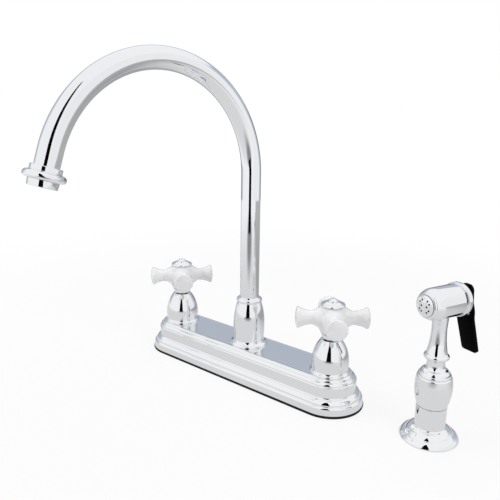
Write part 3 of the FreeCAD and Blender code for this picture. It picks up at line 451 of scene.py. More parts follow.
hub = lathed("hub_casting", [
    (3.6, -36), (6.1, -36), (6.1, -14), (9, -14), (9, 2), (15, 2), (15, 30), (12.4, 30),
    (12.4, 58), (10.6, 58), (10.6, 26), (8, 26), (8, 13), (5.1, 13), (5.1, -8), (3.6, -8)],
    steps=72)
fitted(joined("hub_threaded", hub, thread("hose_thread", 6.6, -35, -16, 1.4)), machined_brass,
       "brass", "deck_body", "spout_hub")

black_nylon, _ = finish_of("black_nylon", (0.02, 0.02, 0.022), 0.5,
                           gloss=((500,), 0.38, 0.6), bumps=((1500,), 0.04, 0.5))
dressed(black_nylon, "hot_mounting_washer", "cold_mounting_washer", "holder_washer",
        "aerator_insert")
dressed(machined_brass, "hot_water_way", "cold_water_way", "diverter_plunger", "swivel_bush",
        "swivel_nut", "hose_coupling")
dressed(black_rubber, "swivel_seals", "aerator_washer", "valve_washer")

# -------------------------------------------------------------------------------- cartridges
# Hidden under the bells: brass quarter-turn cartridges with two lapped ceramic discs each, their
# spindles, and rubber seats. The spout's glide ring is natural nylon, and the handles' screws and
# the lever's pin are plated steel.
lapped_ceramic, _ = finish_of("lapped_ceramic", (0.86, 0.85, 0.81), 0.22,
                              gloss=((1800,), 0.15, 0.34))
natural_nylon, _ = finish_of("natural_nylon", (0.82, 0.8, 0.74), 0.42,
                             gloss=((700,), 0.34, 0.5))
plated_steel, _ = finish_of(
    "plated_steel", (0.62, 0.62, 0.63), 0.3, 1.0,
    drift=((120, 4), (0.52, 0.52, 0.54), (0.68, 0.68, 0.68)), gloss=((300,), 0.2, 0.4))
for side in ("hot", "cold"):
    dressed(machined_brass, f"{side}_cartridge", f"{side}_stem")
    dressed(lapped_ceramic, f"{side}_fixed_disc", f"{side}_turning_disc")
    dressed(black_rubber, f"{side}_seat_seal")
    dressed(plated_steel, f"{side}_handle_screw")
dressed(natural_nylon, "glide_ring")
dressed(plated_steel, "lever_pin")

# -------------------------------------------------------------------------------------- bells
# Spun brass, chrome plated. The two tulip bells under the handles screw on the valves' necks, and
# the taller one round the spout's foot ends in a bead. Each stands on a thin turned flange.
for side, x in SIDES:
    fitted(lathed(f"{side}_bell", [
        (12.5, 33), (19.5, 33), (18.6, 34.9, 1.4), (17.6, 37.2, -2.8), (18.0, 42.5, 36),
        (10.1, 65.4, 37), (9.6, 66, 0.8), (6.1, 66), (6.1, 63), (9.4, 57), (12.5, 49)], (x, 0)),
        polished_chrome, "chrome", "deck_body", f"{side}_handle_bell")
fitted(lathed("spout_foot_bell", [
    (12.5, 33), (19.7, 33), (18.7, 35.2, 1.6), (15.8, 38.8, -4.2), (16.4, 55, 210),
    (12.6, 79, 78), (12.4, 79.5), (12.4, 83.1, 2.1), (10.68, 84.9, -2.2), (9.86, 84.9),
    (9.86, 74), (14, 65.5), (14, 46), (12.5, 44)]), polished_chrome, "chrome", "deck_body",
    "spout_bell")

# --------------------------------------------------------------------------- porcelain handles
# Slip-cast porcelain crosses with a clear glaze: four flared arms run softly into a round hub.
# A chrome cup carries each from below and a chrome index cap closes the screw's recess on top.
CROSS_HUB = [
    (6, 71.6), (9.9, 71.6), (10.5, 72.2, 0.7), (12.9, 79.6, 14), (12.9, 94.5), (11.7, 98, 9),
    (10.9, 98.7, 0.9), (7.6, 98.7), (7.6, 94.7), (6, 94.7),
]
ARM_HEIGHT = 87.0
HANDLE_YAW = {"hot": 50, "cold": 39}
CROSS_ARM = [
    (0, 8.5), (0, 35.2), (9.3, 33.8, -31.6), (10.4, 32.2, -1.7), (6.65, 20, 24),
    (7.85, 16.2, 6.8), (10.25, 12.2), (10.85, 8.5, -6),
]

glazed_porcelain, glaze_shader = finish_of(
    "glazed_porcelain", (0.93, 0.93, 0.925), 0.16,
    drift=((30, 3), (0.86, 0.86, 0.875), (0.89, 0.89, 0.9)),
    gloss=((90, 2), 0.1, 0.2), bumps=((220, 1), 0.05, 0.25))
glaze_shader.inputs["Coat Weight"].default_value = 0.6
glaze_shader.inputs["Coat Roughness"].default_value = 0.04
glaze_shader.inputs["Subsurface Weight"].default_value = 0.12
glaze_shader.inputs["Subsurface Radius"].default_value = (0.003, 0.0025, 0.002)
glaze_shader.inputs["Subsurface Scale"].default_value = 1.0


def outward(x, angle):
    """Carries an arm's own upright axis out along the angle, at the arms' height."""
    return (Matrix.Translation((x, 0, ARM_HEIGHT)) @ Matrix.Rotation(math.radians(angle), 4, "Z")
            @ Matrix.Rotation(math.radians(90), 4, "Y"))


def cast_cross(name, x, yaw):
    """Hub and arms melted into one skin, as slip does, then smoothed like a fired glaze."""
    shells = [lathed("hub", CROSS_HUB, (x, 0), 96, 0.8)]
    shells += [lathed("arm", CROSS_ARM, steps=72, ease=0.5, place=outward(x, angle))
               for angle in (yaw, yaw + 90, yaw + 180, yaw + 270)]
    whole = joined(name, *shells)
    melt = whole.modifiers.new("melt", "REMESH")
    melt.mode = "VOXEL"
    melt.voxel_size = 0.00055
    ease = whole.modifiers.new("ease", "SMOOTH")
    ease.factor = 0.5
    ease.iterations = 12
    mesh = plain_copy(whole, name)
    whole.modifiers.clear()
    whole.data = mesh
    mesh.polygons.foreach_set("use_smooth", [True] * len(mesh.polygons))
    return whole


for side, x in SIDES:
    rider = f"{side}_handle"
    fitted(cast_cross(f"{side}_porcelain", x, HANDLE_YAW[side]), glazed_porcelain, "porcelain",
           rider, f"{side}_cross")
    fitted(lathed(f"{side}_cup", [
        (4.15, 66.9), (8.2, 66.9), (8.9, 68.2, 1.6), (10.3, 71.6, -7), (5.9, 71.6), (5.9, 89.9),
        (4.15, 89.9)], (x, 0), ease=0.3), polished_chrome, "chrome", rider, f"{side}_hub_cup")
    fitted(lathed(f"{side}_cap", [
        (0, 99.4), (5.6, 99.4), (5.6, 95.7), (7.5, 95.7), (7.5, 98.75), (10.7, 98.75),
        (11.5, 100, 1.4), (10, 101.4, 1.6), (9.6, 101.2), (5.7, 103.3, 16), (4.9, 103),
        (4.8, 103.7), (4.4, 104.3, 0.7), (0, 106.1, 6.28)], (x, 0)),
        polished_chrome, "chrome", rider, f"{side}_index_cap")

# -------------------------------------------------------------------------------------- spout
# A chrome-plated brass tube, bent on a mandrel: a straight column, a wide arc and a short straight
# end. It follows a rule, so a tree makes its wall from the bend's own sizes.
TUBE_WALL = 0.00128
tube_tree, tube_in, tube_out = tree_of(
    "gooseneck", {"Radius": 0.00978, "Foot": 0.040, "Column": 0.1724, "Bend Radius": 0.1043,
                  "Sweep": 2.8309, "Tip": 0.0156, "Yaw": -0.14207, "Rings": 300})


def reckon(tree, operation, first, second=0.0):
    """One sum in a tree."""
    return added(tree, "ShaderNodeMath", {0: first, 1: second},
                 operation=operation).outputs["Value"]


bend_length = reckon(tube_tree, "MULTIPLY", tube_in.outputs["Bend Radius"],
                     tube_in.outputs["Sweep"])
to_bend_end = reckon(tube_tree, "ADD", tube_in.outputs["Column"], bend_length)
whole_length = reckon(tube_tree, "ADD", to_bend_end, tube_in.outputs["Tip"])
centre_line = added(tube_tree, "GeometryNodeResampleCurve",
                    {"Curve": added(tube_tree, "GeometryNodeCurvePrimitiveLine").outputs["Curve"],
                     "Count": tube_in.outputs["Rings"]})
last_ring = reckon(tube_tree, "SUBTRACT", tube_in.outputs["Rings"], 1.0)
share_along = reckon(tube_tree, "DIVIDE",
                     added(tube_tree, "GeometryNodeInputIndex").outputs["Index"], last_ring)
travelled = reckon(tube_tree, "MULTIPLY", share_along, whole_length)
straight_part = reckon(tube_tree, "MINIMUM", travelled, tube_in.outputs["Column"])
past_column = reckon(tube_tree, "SUBTRACT", travelled, straight_part)
bent_part = reckon(tube_tree, "MINIMUM", past_column, bend_length)
tip_part = reckon(tube_tree, "SUBTRACT", past_column, bent_part)
turned_by = reckon(tube_tree, "DIVIDE", bent_part, tube_in.outputs["Bend Radius"])
sine = reckon(tube_tree, "SINE", turned_by)
cosine = reckon(tube_tree, "COSINE", turned_by)
reach = reckon(tube_tree, "MULTIPLY", tube_in.outputs["Bend Radius"],
               reckon(tube_tree, "SUBTRACT", cosine, 1.0))
reach = reckon(tube_tree, "SUBTRACT", reach, reckon(tube_tree, "MULTIPLY", tip_part, sine))
rise = reckon(tube_tree, "ADD", tube_in.outputs["Foot"], straight_part)
rise = reckon(tube_tree, "ADD", rise,
              reckon(tube_tree, "MULTIPLY", tube_in.outputs["Bend Radius"], sine))
rise = reckon(tube_tree, "ADD", rise, reckon(tube_tree, "MULTIPLY", tip_part, cosine))
followed = added(tube_tree, "GeometryNodeSetPosition", {
    "Geometry": centre_line.outputs["Curve"],
    "Position": added(tube_tree, "ShaderNodeCombineXYZ", {"Y": reach, "Z": rise}).outputs[0]})
tube_ring = added(tube_tree, "GeometryNodeCurvePrimitiveCircle",
                  {"Resolution": 96, "Radius": tube_in.outputs["Radius"]})
tube_wall = added(tube_tree, "GeometryNodeCurveToMesh",
                  {"Curve": followed.outputs["Geometry"], "Profile Curve": tube_ring.outputs[0]})
yawed = added(tube_tree, "GeometryNodeTransform", {
    "Geometry": tube_wall.outputs["Mesh"],
    "Rotation": added(tube_tree, "ShaderNodeCombineXYZ",
                      {"Z": tube_in.outputs["Yaw"]}).outputs[0]})
closed_tree(tube_tree, yawed.outputs["Geometry"], polished_chrome, tube_out)
gooseneck = grown("gooseneck", tube_tree, {})
wall = gooseneck.modifiers.new("wall", "SOLIDIFY")
wall.thickness = TUBE_WALL
wall.offset = -1.0
gooseneck.data = plain_copy(gooseneck, "gooseneck")
gooseneck.modifiers.clear()
shaded_smooth(gooseneck.data, 40)
fitted(gooseneck, polished_chrome, "chrome", "spout", "gooseneck_tube")

# ---------------------------------------------------------------------------------- spout's tip
# A stepped collar and a rounded ring, turned from brass and plated, are brazed on the tube. The
# aerator's smooth housing screws in below them, round a perforated black stream former.
SPOUT_YAW, BEND_END = math.radians(-8.14), math.radians(162.2)
BEND_FOOT, BEND_RADIUS = 212.4, 104.3
AT_TIP = (Matrix.Rotation(SPOUT_YAW, 4, "Z")
          @ Matrix.Translation((0, BEND_RADIUS * (math.cos(BEND_END) - 1),
                                BEND_FOOT + BEND_RADIUS * math.sin(BEND_END)))
          @ Matrix.Rotation(BEND_END - math.pi, 4, "X"))
fitted(lathed("tip_ring", [
    (9.82, -15.6), (9.82, -11.7), (11.55, -11.7), (12.25, -12.3, -0.7), (12.25, -15.8),
    (14.1, -16.3), (16.4, -19.3, -3.1), (13.8, -22.2, -3.0), (10.4, -22.2), (10.4, -17.2),
    (8.4, -17.2), (8.4, -15.6)], place=AT_TIP), polished_chrome, "chrome", "spout", "spout_tip")
fitted(lathed("aerator_shell", [
    (8.8, -27.8), (10.9, -27.8), (11.5, -27.3, 0.6), (12, -22.3), (10.35, -22.3), (10.35, -18.5),
    (8.8, -18.5)], place=AT_TIP), polished_chrome, "chrome", "spout", "aerator_housing")

# ------------------------------------------------------------------------- hand spray's holder
# Turned brass, chrome plated: a low domed flange on the deck, a plain collar that the wand drops
# into, and a threaded shank with its nut under the deck.
HOLDER = (200.9, 6.8)
holder = lathed("holder_flange", [
    (9, -42), (11.3, -42), (11.3, -1), (12, 0), (24.6, 0), (25.4, 1.5, 1.8), (20.3, 6.4, 8.5),
    (19.9, 7.1), (14.1, 10.9, 11), (13.7, 11.4), (13.1, 11.9, -0.7), (13.1, 31.2), (11.3, 31.2),
    (11.3, 8), (9, 8)], HOLDER)
fitted(joined("holder_threaded", holder, thread("holder_thread", 12.0, -41, -4, 1.8, HOLDER)),
       polished_chrome, "chrome", "deck_body", "spray_holder")
fitted(hexagon_nut("holder_lock_nut", 12.05, 34, -34, 8.4, HOLDER), machined_brass, "brass",
       "deck_body", "holder_nut")

# ---------------------------------------------------------------------------------- wand's grip
# Chrome-plated brass, turned in one: a tail in the holder, a pear-shaped bulb with a fine step, a
# beaded waist, and a neck that tapers up to the head.
fitted(lathed("grip", [
    (7.9, 14), (10.9, 14), (10.9, 31.5), (12.9, 31.5), (13.1, 31.8, 0.4), (15.9, 47, 60),
    (14.9, 57.6, 46), (14.3, 58.5, 1.1), (13.9, 58.7), (13.9, 59.3), (13.2, 61.3, 1.9),
    (12.6, 61.4), (12.5, 62), (10.1, 64.8, 5.6), (7.8, 67.8, -3.6), (7.6, 72, -12),
    (8.9, 74.4, -2.6), (10.2, 78.1, 2.3), (8.7, 80.2, -3.5), (6.4, 97, -75), (6.6, 107.8, -60),
    (5, 107.8), (5, 113.8), (3.6, 113.8), (3.6, 37), (7.9, 33)], HOLDER, ease=0.12),
    polished_chrome, "chrome", "spray_wand", "wand_grip")

# ----------------------------------------------------------------------------------- spray head
# A plated barrel with a rounded nose and a boss for the neck. A cap with a broad bright ring closes
# its rear: the valve's rod comes out of it, and a small lug under the rod carries the lever.
HEAD_HEIGHT, HEAD_YAW = 124.3, math.radians(-20.7)
AT_WAND = Matrix.Translation((*HOLDER, HEAD_HEIGHT)) @ Matrix.Rotation(HEAD_YAW, 4, "Z")
ALONG_HEAD = AT_WAND @ Matrix.Rotation(math.radians(-90), 4, "X")
TO_METRES = Matrix.Diagonal((0.001, 0.001, 0.001, 1))
WAND_IN_METRES = TO_METRES @ AT_WAND @ TO_METRES.inverted()
PIN_BACK, PIN_HEIGHT = 24.4, -11.5
barrel = lathed("barrel", [
    (9.25, -19.1), (9.9, -19.1), (10.9, -17.5, 1.9), (11.3, -17.3), (13.7, -9, 15.4), (13.7, 13.4),
    (12.8, 14.4), (12.8, 15.6), (10.9, 15.6), (10.9, -4), (3, -4), (3, -7), (10.3, -7),
    (10.3, -11), (8.2, -15.4), (8.2, -17.3), (9.25, -17.3)], place=ALONG_HEAD)
boss = lathed("boss", [
    (5.05, -16.5), (6.6, -16.5), (6.6, -11.3), (5.05, -11.3)], place=AT_WAND)
fitted(joined("head_barrel", barrel, boss), polished_chrome, "chrome", "spray_wand", "spray_head")


def prism(name, outline, start, end, plane="YZ"):
    """An outline in the head's own YZ or XZ plane, carried from start to end across it."""
    shape = bmesh.new()
    sides = []
    for across in (start, end):
        corners = [(across, a, b) if plane == "YZ" else (a, across, b) for a, b in traced(outline)]
        sides.append([shape.verts.new(Vector(corner) / 1000) for corner in corners])
    shape.faces.new(sides[0])
    shape.faces.new(list(reversed(sides[1])))
    for index in range(len(sides[0])):
        following = (index + 1) % len(sides[0])
        shape.faces.new([sides[0][index], sides[1][index], sides[1][following],
                         sides[0][following]])
    return finished_mesh(name, shape)


def pin_bar(name, radius, half_length):
    """A round bar across the head, on the lever pin's axis."""
    place = (Matrix.Translation((0, PIN_BACK, PIN_HEIGHT))
             @ Matrix.Rotation(math.radians(90), 4, "Y"))
    return lathed(name, [(0, -half_length), (radius, -half_length), (radius, half_length),
                         (0, half_length)], steps=48, ease=0.0, place=place)


def worked(piece, bevel, *steps):
    """The piece after boolean steps (operation, tool), its edges then rounded, as a plain mesh."""
    for operation, tool in steps:
        cut = piece.modifiers.new(tool.name, "BOOLEAN")
        cut.operation = operation
        cut.object = tool
        cut.solver = "EXACT"
    soft = piece.modifiers.new("soft", "BEVEL")
    soft.width = bevel / 1000
    soft.segments = 3
    soft.limit_method = "ANGLE"
    soft.angle_limit = math.radians(28)
    mesh = plain_copy(piece, piece.name)
    piece.modifiers.clear()
    piece.data = mesh
    for _, tool in steps:
        bpy.data.objects.remove(tool)
    shaded_smooth(mesh, 32)
    return piece


lug = worked(prism("lug", [
    (20.2, -14.1), (24.4, -14.1), (27, -11.5, 2.6), (24.4, -8.9, 2.6), (20.2, -8.9)], -4.9, 4.9),
    0.2, ("DIFFERENCE", pin_bar("lug_hole", 1.27, 8)))
lug.data.transform(WAND_IN_METRES)
cap = lathed("cap", [
    (5.6, 6), (10.85, 6), (10.85, 15.7), (14.1, 15.7), (14.7, 16.6, 0.9), (14.7, 18.6),
    (13.4, 21.2, 2.9), (5.4, 21.2), (4.6, 22.4), (2.35, 22.4), (2.35, 13), (5.6, 13)],
    place=ALONG_HEAD)
fitted(joined("rear_cap", cap, lug), polished_chrome, "chrome", "spray_wand", "head_cap")
fitted(lathed("rod", [
    (0, -5), (1.5, -5), (1.5, -2), (5, -2), (5, 0), (2.25, 0), (2.25, 31.6), (5, 31.6),
    (5, 32.8), (0, 34.2, 9.63)], place=ALONG_HEAD, steps=48), polished_chrome, "chrome",
    "spray_valve", "valve_rod")

# ---------------------------------------------------------------------------------- nozzle plate
# A slightly domed plated disc in the barrel's nose, drilled with a ring of twelve jets and a ring
# of six. The tree that sets the holes out cuts them. Their walls, from just below the face, are
# painted near black as painted shade in the bores.
FACE_DOME, DOME_BACK = 0.0298, 0.0089
jet_tree, jet_in, jet_out = tree_of(
    "jets", {"Outer": 0.0056, "Inner": 0.0028, "Jet": 0.00085, "Depth": 0.06})
drills = []
for count, radius in ((12, "Outer"), (6, "Inner")):
    ring_of_points = added(jet_tree, "GeometryNodeMeshCircle",
                           {"Vertices": count, "Radius": jet_in.outputs[radius]})
    drill = added(jet_tree, "GeometryNodeMeshCylinder",
                  {"Vertices": 20, "Radius": jet_in.outputs["Jet"],
                   "Depth": jet_in.outputs["Depth"]})
    placed = added(jet_tree, "GeometryNodeInstanceOnPoints",
                   {"Points": ring_of_points.outputs["Mesh"],
                    "Instance": drill.outputs["Mesh"]})
    drills.append(placed.outputs["Instances"])
all_drills = added(jet_tree, "GeometryNodeJoinGeometry")
for socket in drills:
    jet_tree.links.new(socket, all_drills.inputs["Geometry"])
real_drills = added(jet_tree, "GeometryNodeRealizeInstances",
                    {"Geometry": all_drills.outputs["Geometry"]})
pierced = added(jet_tree, "GeometryNodeMeshBoolean", {"Mesh 1": jet_in.outputs["Base"]},
                operation="DIFFERENCE")
jet_tree.links.new(real_drills.outputs["Geometry"], pierced.inputs["Mesh 2"])
closed_tree(jet_tree, pierced.outputs["Mesh"], polished_chrome, jet_out)
blank = lathed("blank", [
    (0, -20.9), (8.7, -19.6, 29.8), (9.2, -19.1, 0.6), (9.2, -17.35), (0, -17.35)])
face = grown("nozzle_face", jet_tree, {}, blank.data)
bpy.data.objects.remove(blank)
face.data.transform(TO_METRES @ ALONG_HEAD @ TO_METRES.inverted())
shaded_smooth(face.data, 30)
bore_shaded_chrome = polished_chrome.copy()
bore_shaded_chrome.name = "bore_shaded_chrome"
bore_tree = bore_shaded_chrome.node_tree
bore_shader = bore_tree.nodes["Principled BSDF"]
# Painted shade: deeper than about a tenth of a millimetre under the domed face, the jets' walls
# take a near black colour instead of the chrome.
dome_middle = WAND_IN_METRES @ Vector((0, DOME_BACK, 0))
from_dome = added(bore_tree, "ShaderNodeVectorMath", {
    0: added(bore_tree, "ShaderNodeTexCoord").outputs["Object"], 1: dome_middle},
    operation="DISTANCE")
bore_shade_mask = added(bore_tree, "ShaderNodeMapRange", {
    "Value": from_dome.outputs["Value"], "From Min": FACE_DOME - 0.00014,
    "From Max": FACE_DOME - 0.00004})
plated = bore_shader.inputs["Base Color"].links[0].from_socket
painted_bore_shade = added(bore_tree, "ShaderNodeMix", {
    "Factor": bore_shade_mask.outputs["Result"], "A": (0.004, 0.004, 0.004, 1), "B": plated},
    data_type="RGBA")
bore_tree.links.new(painted_bore_shade.outputs["Result"], bore_shader.inputs["Base Color"])
fitted(face, bore_shaded_chrome, "chrome", "spray_wand", "nozzle_plate")

# ----------------------------------------------------------------------------------------- lever
# Glossy black moulding: an upright plate that the rod comes through and a raked tail for the
# thumb, rounded at both ends. Two cheeks on its front carry the steel pin through the cap's lug.
LEVER_SIDE = [
    (29, -16), (29.6, -20.4, 22), (39.6, -50.4), (41.2, -52, 1.6), (43.4, -50, 2.1),
    (32.9, -19.8), (31.9, -15, -16), (30.1, 11.2), (29.1, 12.2, 1), (28.2, 12.2), (27.2, 11.2, 1),
]
LEVER_HALF = [(4.4, -52.2), (7.7, -48.9, 3.4), (8.4, -17), (6.5, -4, 30), (6.1, 6),
              (1.2, 12.3, 5.6)]
CHEEK_SIDE = [(29.4, -15.1), (29.4, -7.9), (24.4, -8.9), (21.8, -11.5, 2.6), (24.4, -14.1, 2.6)]
CHEEK_INSIDE, CHEEK_OUTSIDE, LEVER_EDGE = 5.2, 7.8, 8.4
ROD_SLOT = [(20, -2.8), (40, -2.8), (40, 4.3), (20, 4.3)]
gloss_black, gloss_shader = finish_of(
    "gloss_black", (0.0015, 0.0015, 0.0016), 0.3, gloss=((60, 4), 0.24, 0.4),
    bumps=((400, 2), 0.03, 0.3))
gloss_shader.inputs["Specular IOR Level"].default_value = 0.015


def mirrored_front(half):
    """The front outline from its right half, listed from the tail up: the left half runs down."""
    left = []
    for index in range(len(half) - 1, -1, -1):
        corner = (-half[index][0], half[index][1])
        follows = half[index + 1] if index + 1 < len(half) else corner
        left.append((*corner, follows[2]) if len(follows) == 3 else corner)
    return half + left


lever = worked(
    prism("lever", LEVER_SIDE, -LEVER_EDGE, LEVER_EDGE), 0.45,
    ("INTERSECT", prism("front_cut", mirrored_front(LEVER_HALF), 20, 50, "XZ")),
    ("UNION", prism("left_cheek", CHEEK_SIDE, -CHEEK_OUTSIDE, -CHEEK_INSIDE)),
    ("UNION", prism("right_cheek", CHEEK_SIDE, CHEEK_INSIDE, CHEEK_OUTSIDE)),
    ("DIFFERENCE", prism("rod_slot", ROD_SLOT, -2.75, 2.75)),
    ("DIFFERENCE", pin_bar("lever_hole", 1.32, 12)))
lever.data.transform(WAND_IN_METRES)
fitted(lever, gloss_black, "black_gloss", "spray_trigger", "spray_lever")

# ------------------------------------------------------------------------------------- springs
# Round steel wire on a helix: one under the diverter's plunger, riding with the diverter, and one
# in the spray head, riding with the valve.
COIL_RADIUS, WIRE_RADIUS = 4.25, 0.5


def coil(name, low, high, turns, place):
    """A spring of round wire from low to high about the Z axis of place."""
    per_turn, sides = 24, 10
    steps = turns * per_turn
    loops = []
    for step in range(steps + 1):
        turn = Matrix.Rotation(math.tau * step / per_turn, 3, "Z")
        run = high - low - 2 * WIRE_RADIUS
        middle = Vector((COIL_RADIUS, 0, low + WIRE_RADIUS + run * step / steps))
        spokes = [Vector((WIRE_RADIUS * math.cos(math.tau * side / sides), 0,
                          WIRE_RADIUS * math.sin(math.tau * side / sides)))
                  for side in range(sides)]
        loops.append([place @ (turn @ (middle + spoke)) for spoke in spokes])
    first, last = ([sum(loop, Vector()) / len(loop)] for loop in (loops[0], loops[-1]))
    return skin(name, [first] + loops + [last], closed=False)


plunger_coil = coil("plunger_coil", -7.95, -2.05, 3, Matrix.Identity(4))
fitted(plunger_coil, plated_steel, "plated_steel", "diverter", "diverter_spring")
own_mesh(plunger_coil)
head_coil = coil("head_coil", 0.05, 12.95, 7, ALONG_HEAD)
fitted(head_coil, plated_steel, "plated_steel", "spray_valve", "valve_spring")
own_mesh(head_coil)

# ----------------------------------------------------------------------------------- the studio
# A round white table top, a dark opening beside the camera that only shows in the chrome, a white
# room whose walls fall off to a cool grey behind the faucet, and large soft lamps on three sides.
# The table's glow in the chrome dims behind the faucet, near it and by the opening.
FAUCET_MIDDLE = (0.03, -0.05, 0.12)
OPENING = (0.336, -0.577)
OPENING_ALONG = (0.864, 0.503)
OPENING_CORNERS = [(-0.165, 0.0), (0.165, 0.0), (0.05, 1.25), (-0.05, 1.25)]
floor_shape = bmesh.new()
bmesh.ops.create_circle(floor_shape, cap_ends=True, segments=96, radius=1.1)
floor = finished_mesh("table_top", floor_shape)
white_table, table_shader = finish_of("white_table", (0.86, 0.86, 0.86), 0.55)
table_tree = white_table.node_tree
rays = added(table_tree, "ShaderNodeLightPath").outputs
place = added(table_tree, "ShaderNodeTexCoord").outputs["Object"]
from_middle = added(table_tree, "ShaderNodeVectorMath", {0: place}, operation="LENGTH")
to_opening = added(table_tree, "ShaderNodeVectorMath", {0: place, 1: (*OPENING, 0.0)},
                   operation="DISTANCE")
behind = added(table_tree, "ShaderNodeSeparateXYZ", {"Vector": place}).outputs["Y"]


def eased_range(tree, value, start, end, first=0.0, last=1.0):
    """A smooth change from first to last as the value goes from start to end."""
    return added(tree, "ShaderNodeMapRange", {
        "Value": value, "From Min": start, "From Max": end, "To Min": first, "To Max": last},
        interpolation_type="SMOOTHSTEP").outputs["Result"]


fade = eased_range(table_tree, from_middle.outputs["Value"], 0.3, 0.8, 0.82)
dusk_behind = eased_range(table_tree, behind, 0.04, 0.26, 1.0, 0.48)
dusk_before = eased_range(table_tree, to_opening.outputs["Value"], 0.17, 0.4, 0.3)
dusk_near = eased_range(table_tree, from_middle.outputs["Value"], 0.25, 0.95, 0.74)
in_chrome = reckon(table_tree, "MULTIPLY", dusk_near,
                   reckon(table_tree, "MULTIPLY", dusk_behind, dusk_before))
for_eye = reckon(table_tree, "MULTIPLY", rays["Is Camera Ray"], fade)
for_chrome = reckon(table_tree, "MULTIPLY", rays["Is Glossy Ray"], 0.95)
glow = added(table_tree, "ShaderNodeEmission", {
    "Color": (1, 1, 1, 1),
    "Strength": reckon(table_tree, "MAXIMUM", rays["Is Camera Ray"], in_chrome)})
blended = added(table_tree, "ShaderNodeMixShader",
                {0: reckon(table_tree, "MAXIMUM", for_eye, for_chrome),
                 1: table_shader.outputs["BSDF"], 2: glow.outputs["Emission"]})
table_tree.links.new(blended.outputs["Shader"],
                     table_tree.nodes["Material Output"].inputs["Surface"])
floor.data.materials.append(white_table)

opening_shape = bmesh.new()
opening_shape.faces.new([
    opening_shape.verts.new((OPENING[0] + OPENING_ALONG[0] * across,
                             OPENING[1] + OPENING_ALONG[1] * across, height))
    for across, height in OPENING_CORNERS])
opening = finished_mesh("dark_opening", opening_shape)
unlit, unlit_shader = finish_of("unlit", (0.002, 0.002, 0.002), 1.0)
unlit_shader.inputs["Specular IOR Level"].default_value = 0.0
opening.data.materials.append(unlit)
opening.visible_camera = False
opening.visible_diffuse = False
opening.visible_shadow = False

world = bpy.data.worlds.new("studio")
bpy.context.scene.world = world
world.use_nodes = True
room = world.node_tree
room.nodes.clear()
heading = added(room, "ShaderNodeTexCoord").outputs["Generated"]
parts = added(room, "ShaderNodeSeparateXYZ", {"Vector": heading})
azimuth = reckon(room, "ARCTAN2", parts.outputs["Y"], parts.outputs["X"])


def wall_band(towards, half_width, softness, low, high):
    """1 inside a band of directions about an azimuth in degrees and between two heights."""
    offset = reckon(room, "SUBTRACT", azimuth, math.radians(towards))
    wrapped = reckon(room, "ABSOLUTE", reckon(room, "ARCTAN2", reckon(room, "SINE", offset),
                                              reckon(room, "COSINE", offset)))
    across = eased_range(room, wrapped, math.radians(half_width + softness),
                         math.radians(half_width))
    below = eased_range(room, parts.outputs["Z"], low - 0.06, low)
    above = eased_range(room, parts.outputs["Z"], high + 0.06, high)
    return reckon(room, "MULTIPLY", across, reckon(room, "MULTIPLY", below, above))


back_wall = wall_band(129, 50, 35, -0.4, 0.5)
low_back = wall_band(129, 30, 25, -0.5, 0.14)
right_wall = wall_band(10, 20, 22, -0.5, 0.5)
shade = 0.99
for band, depth in ((back_wall, 0.45), (low_back, 0.62), (right_wall, 0.05)):
    lit = reckon(room, "SUBTRACT", 1.0, reckon(room, "MULTIPLY", band, depth))
    shade = reckon(room, "MULTIPLY", shade, lit)
room_rays = added(room, "ShaderNodeLightPath").outputs
mirrored = reckon(room, "MAXIMUM", room_rays["Is Glossy Ray"], room_rays["Is Transmission Ray"])
cool = added(room, "ShaderNodeMix", {"Factor": back_wall, "A": (0.99, 0.995, 1.0, 1),
                                     "B": (0.88, 0.97, 1.1, 1)}, data_type="RGBA")
walls = added(room, "ShaderNodeBackground",
              {"Color": cool.outputs["Result"], "Strength": shade})
plain_white = added(room, "ShaderNodeBackground", {"Color": (1, 1, 1, 1), "Strength": 1.0})
dim_fill = added(room, "ShaderNodeBackground", {"Color": (1, 1, 1, 1), "Strength": 0.45})
for_light = added(room, "ShaderNodeMixShader", {
    0: mirrored, 1: dim_fill.outputs["Background"], 2: walls.outputs["Background"]})
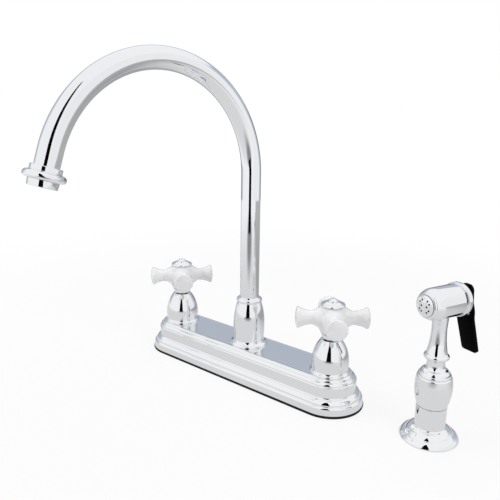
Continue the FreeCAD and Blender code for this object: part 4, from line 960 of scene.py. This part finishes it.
for_camera = added(room, "ShaderNodeMixShader", {
    0: room_rays["Is Camera Ray"], 1: for_light.outputs["Shader"],
    2: plain_white.outputs["Background"]})
room_out = added(room, "ShaderNodeOutputWorld")
room.links.new(for_camera.outputs["Shader"], room_out.inputs["Surface"])


def soft_lamp(name, place, size, watts):
    """A large square lamp that faces the faucet."""
    light = bpy.data.lights.new(name, "AREA")
    light.shape = "SQUARE"
    light.size = size
    light.energy = watts
    lamp = bpy.data.objects.new(name, light)
    lamp.location = place
    lamp.visible_glossy = False
    aim = Vector(FAUCET_MIDDLE) - Vector(place)
    lamp.rotation_euler = aim.to_track_quat("-Z", "Y").to_euler()
    bpy.context.scene.collection.objects.link(lamp)


soft_lamp("lamp_left", (-1.3, -0.9, 1.1), 1.1, 12)
soft_lamp("lamp_right", (1.5, -0.2, 0.9), 0.9, 7)
soft_lamp("lamp_above", (0.1, 0.2, 1.7), 1.4, 11)

# ----------------------------------------------------------------------------------- the camera
# Where the photograph was taken from: in front, to the right and a little above the spout's foot.
EYE = (0.36482, -0.44122, 0.28382)
FOCAL_LENGTH_PIXELS, FRAME_PIXELS, SENSOR_WIDTH = 576.11, 500.0, 36.0
camera_data = bpy.data.cameras.new("camera")
camera_data.sensor_width = SENSOR_WIDTH
camera_data.sensor_fit = "HORIZONTAL"
camera_data.lens = FOCAL_LENGTH_PIXELS * SENSOR_WIDTH / FRAME_PIXELS
camera_data.clip_start = 0.01
camera = bpy.data.objects.new("camera", camera_data)
yaw, pitch, roll = (math.radians(angle) for angle in (39.59, 14.62, 0.84))
forward = Vector((-math.sin(yaw) * math.cos(pitch), math.cos(yaw) * math.cos(pitch),
                  -math.sin(pitch)))
sideways = Vector((math.cos(yaw), math.sin(yaw), 0.0))
upright = sideways.cross(forward)
right = math.cos(roll) * sideways + math.sin(roll) * upright
up = -math.sin(roll) * sideways + math.cos(roll) * upright
facing = Matrix((right, up, -forward)).transposed().to_4x4()
camera.matrix_world = Matrix.Translation(EYE) @ facing
bpy.context.scene.collection.objects.link(camera)
bpy.context.scene.camera = camera
bpy.context.scene.view_settings.view_transform = "Standard"
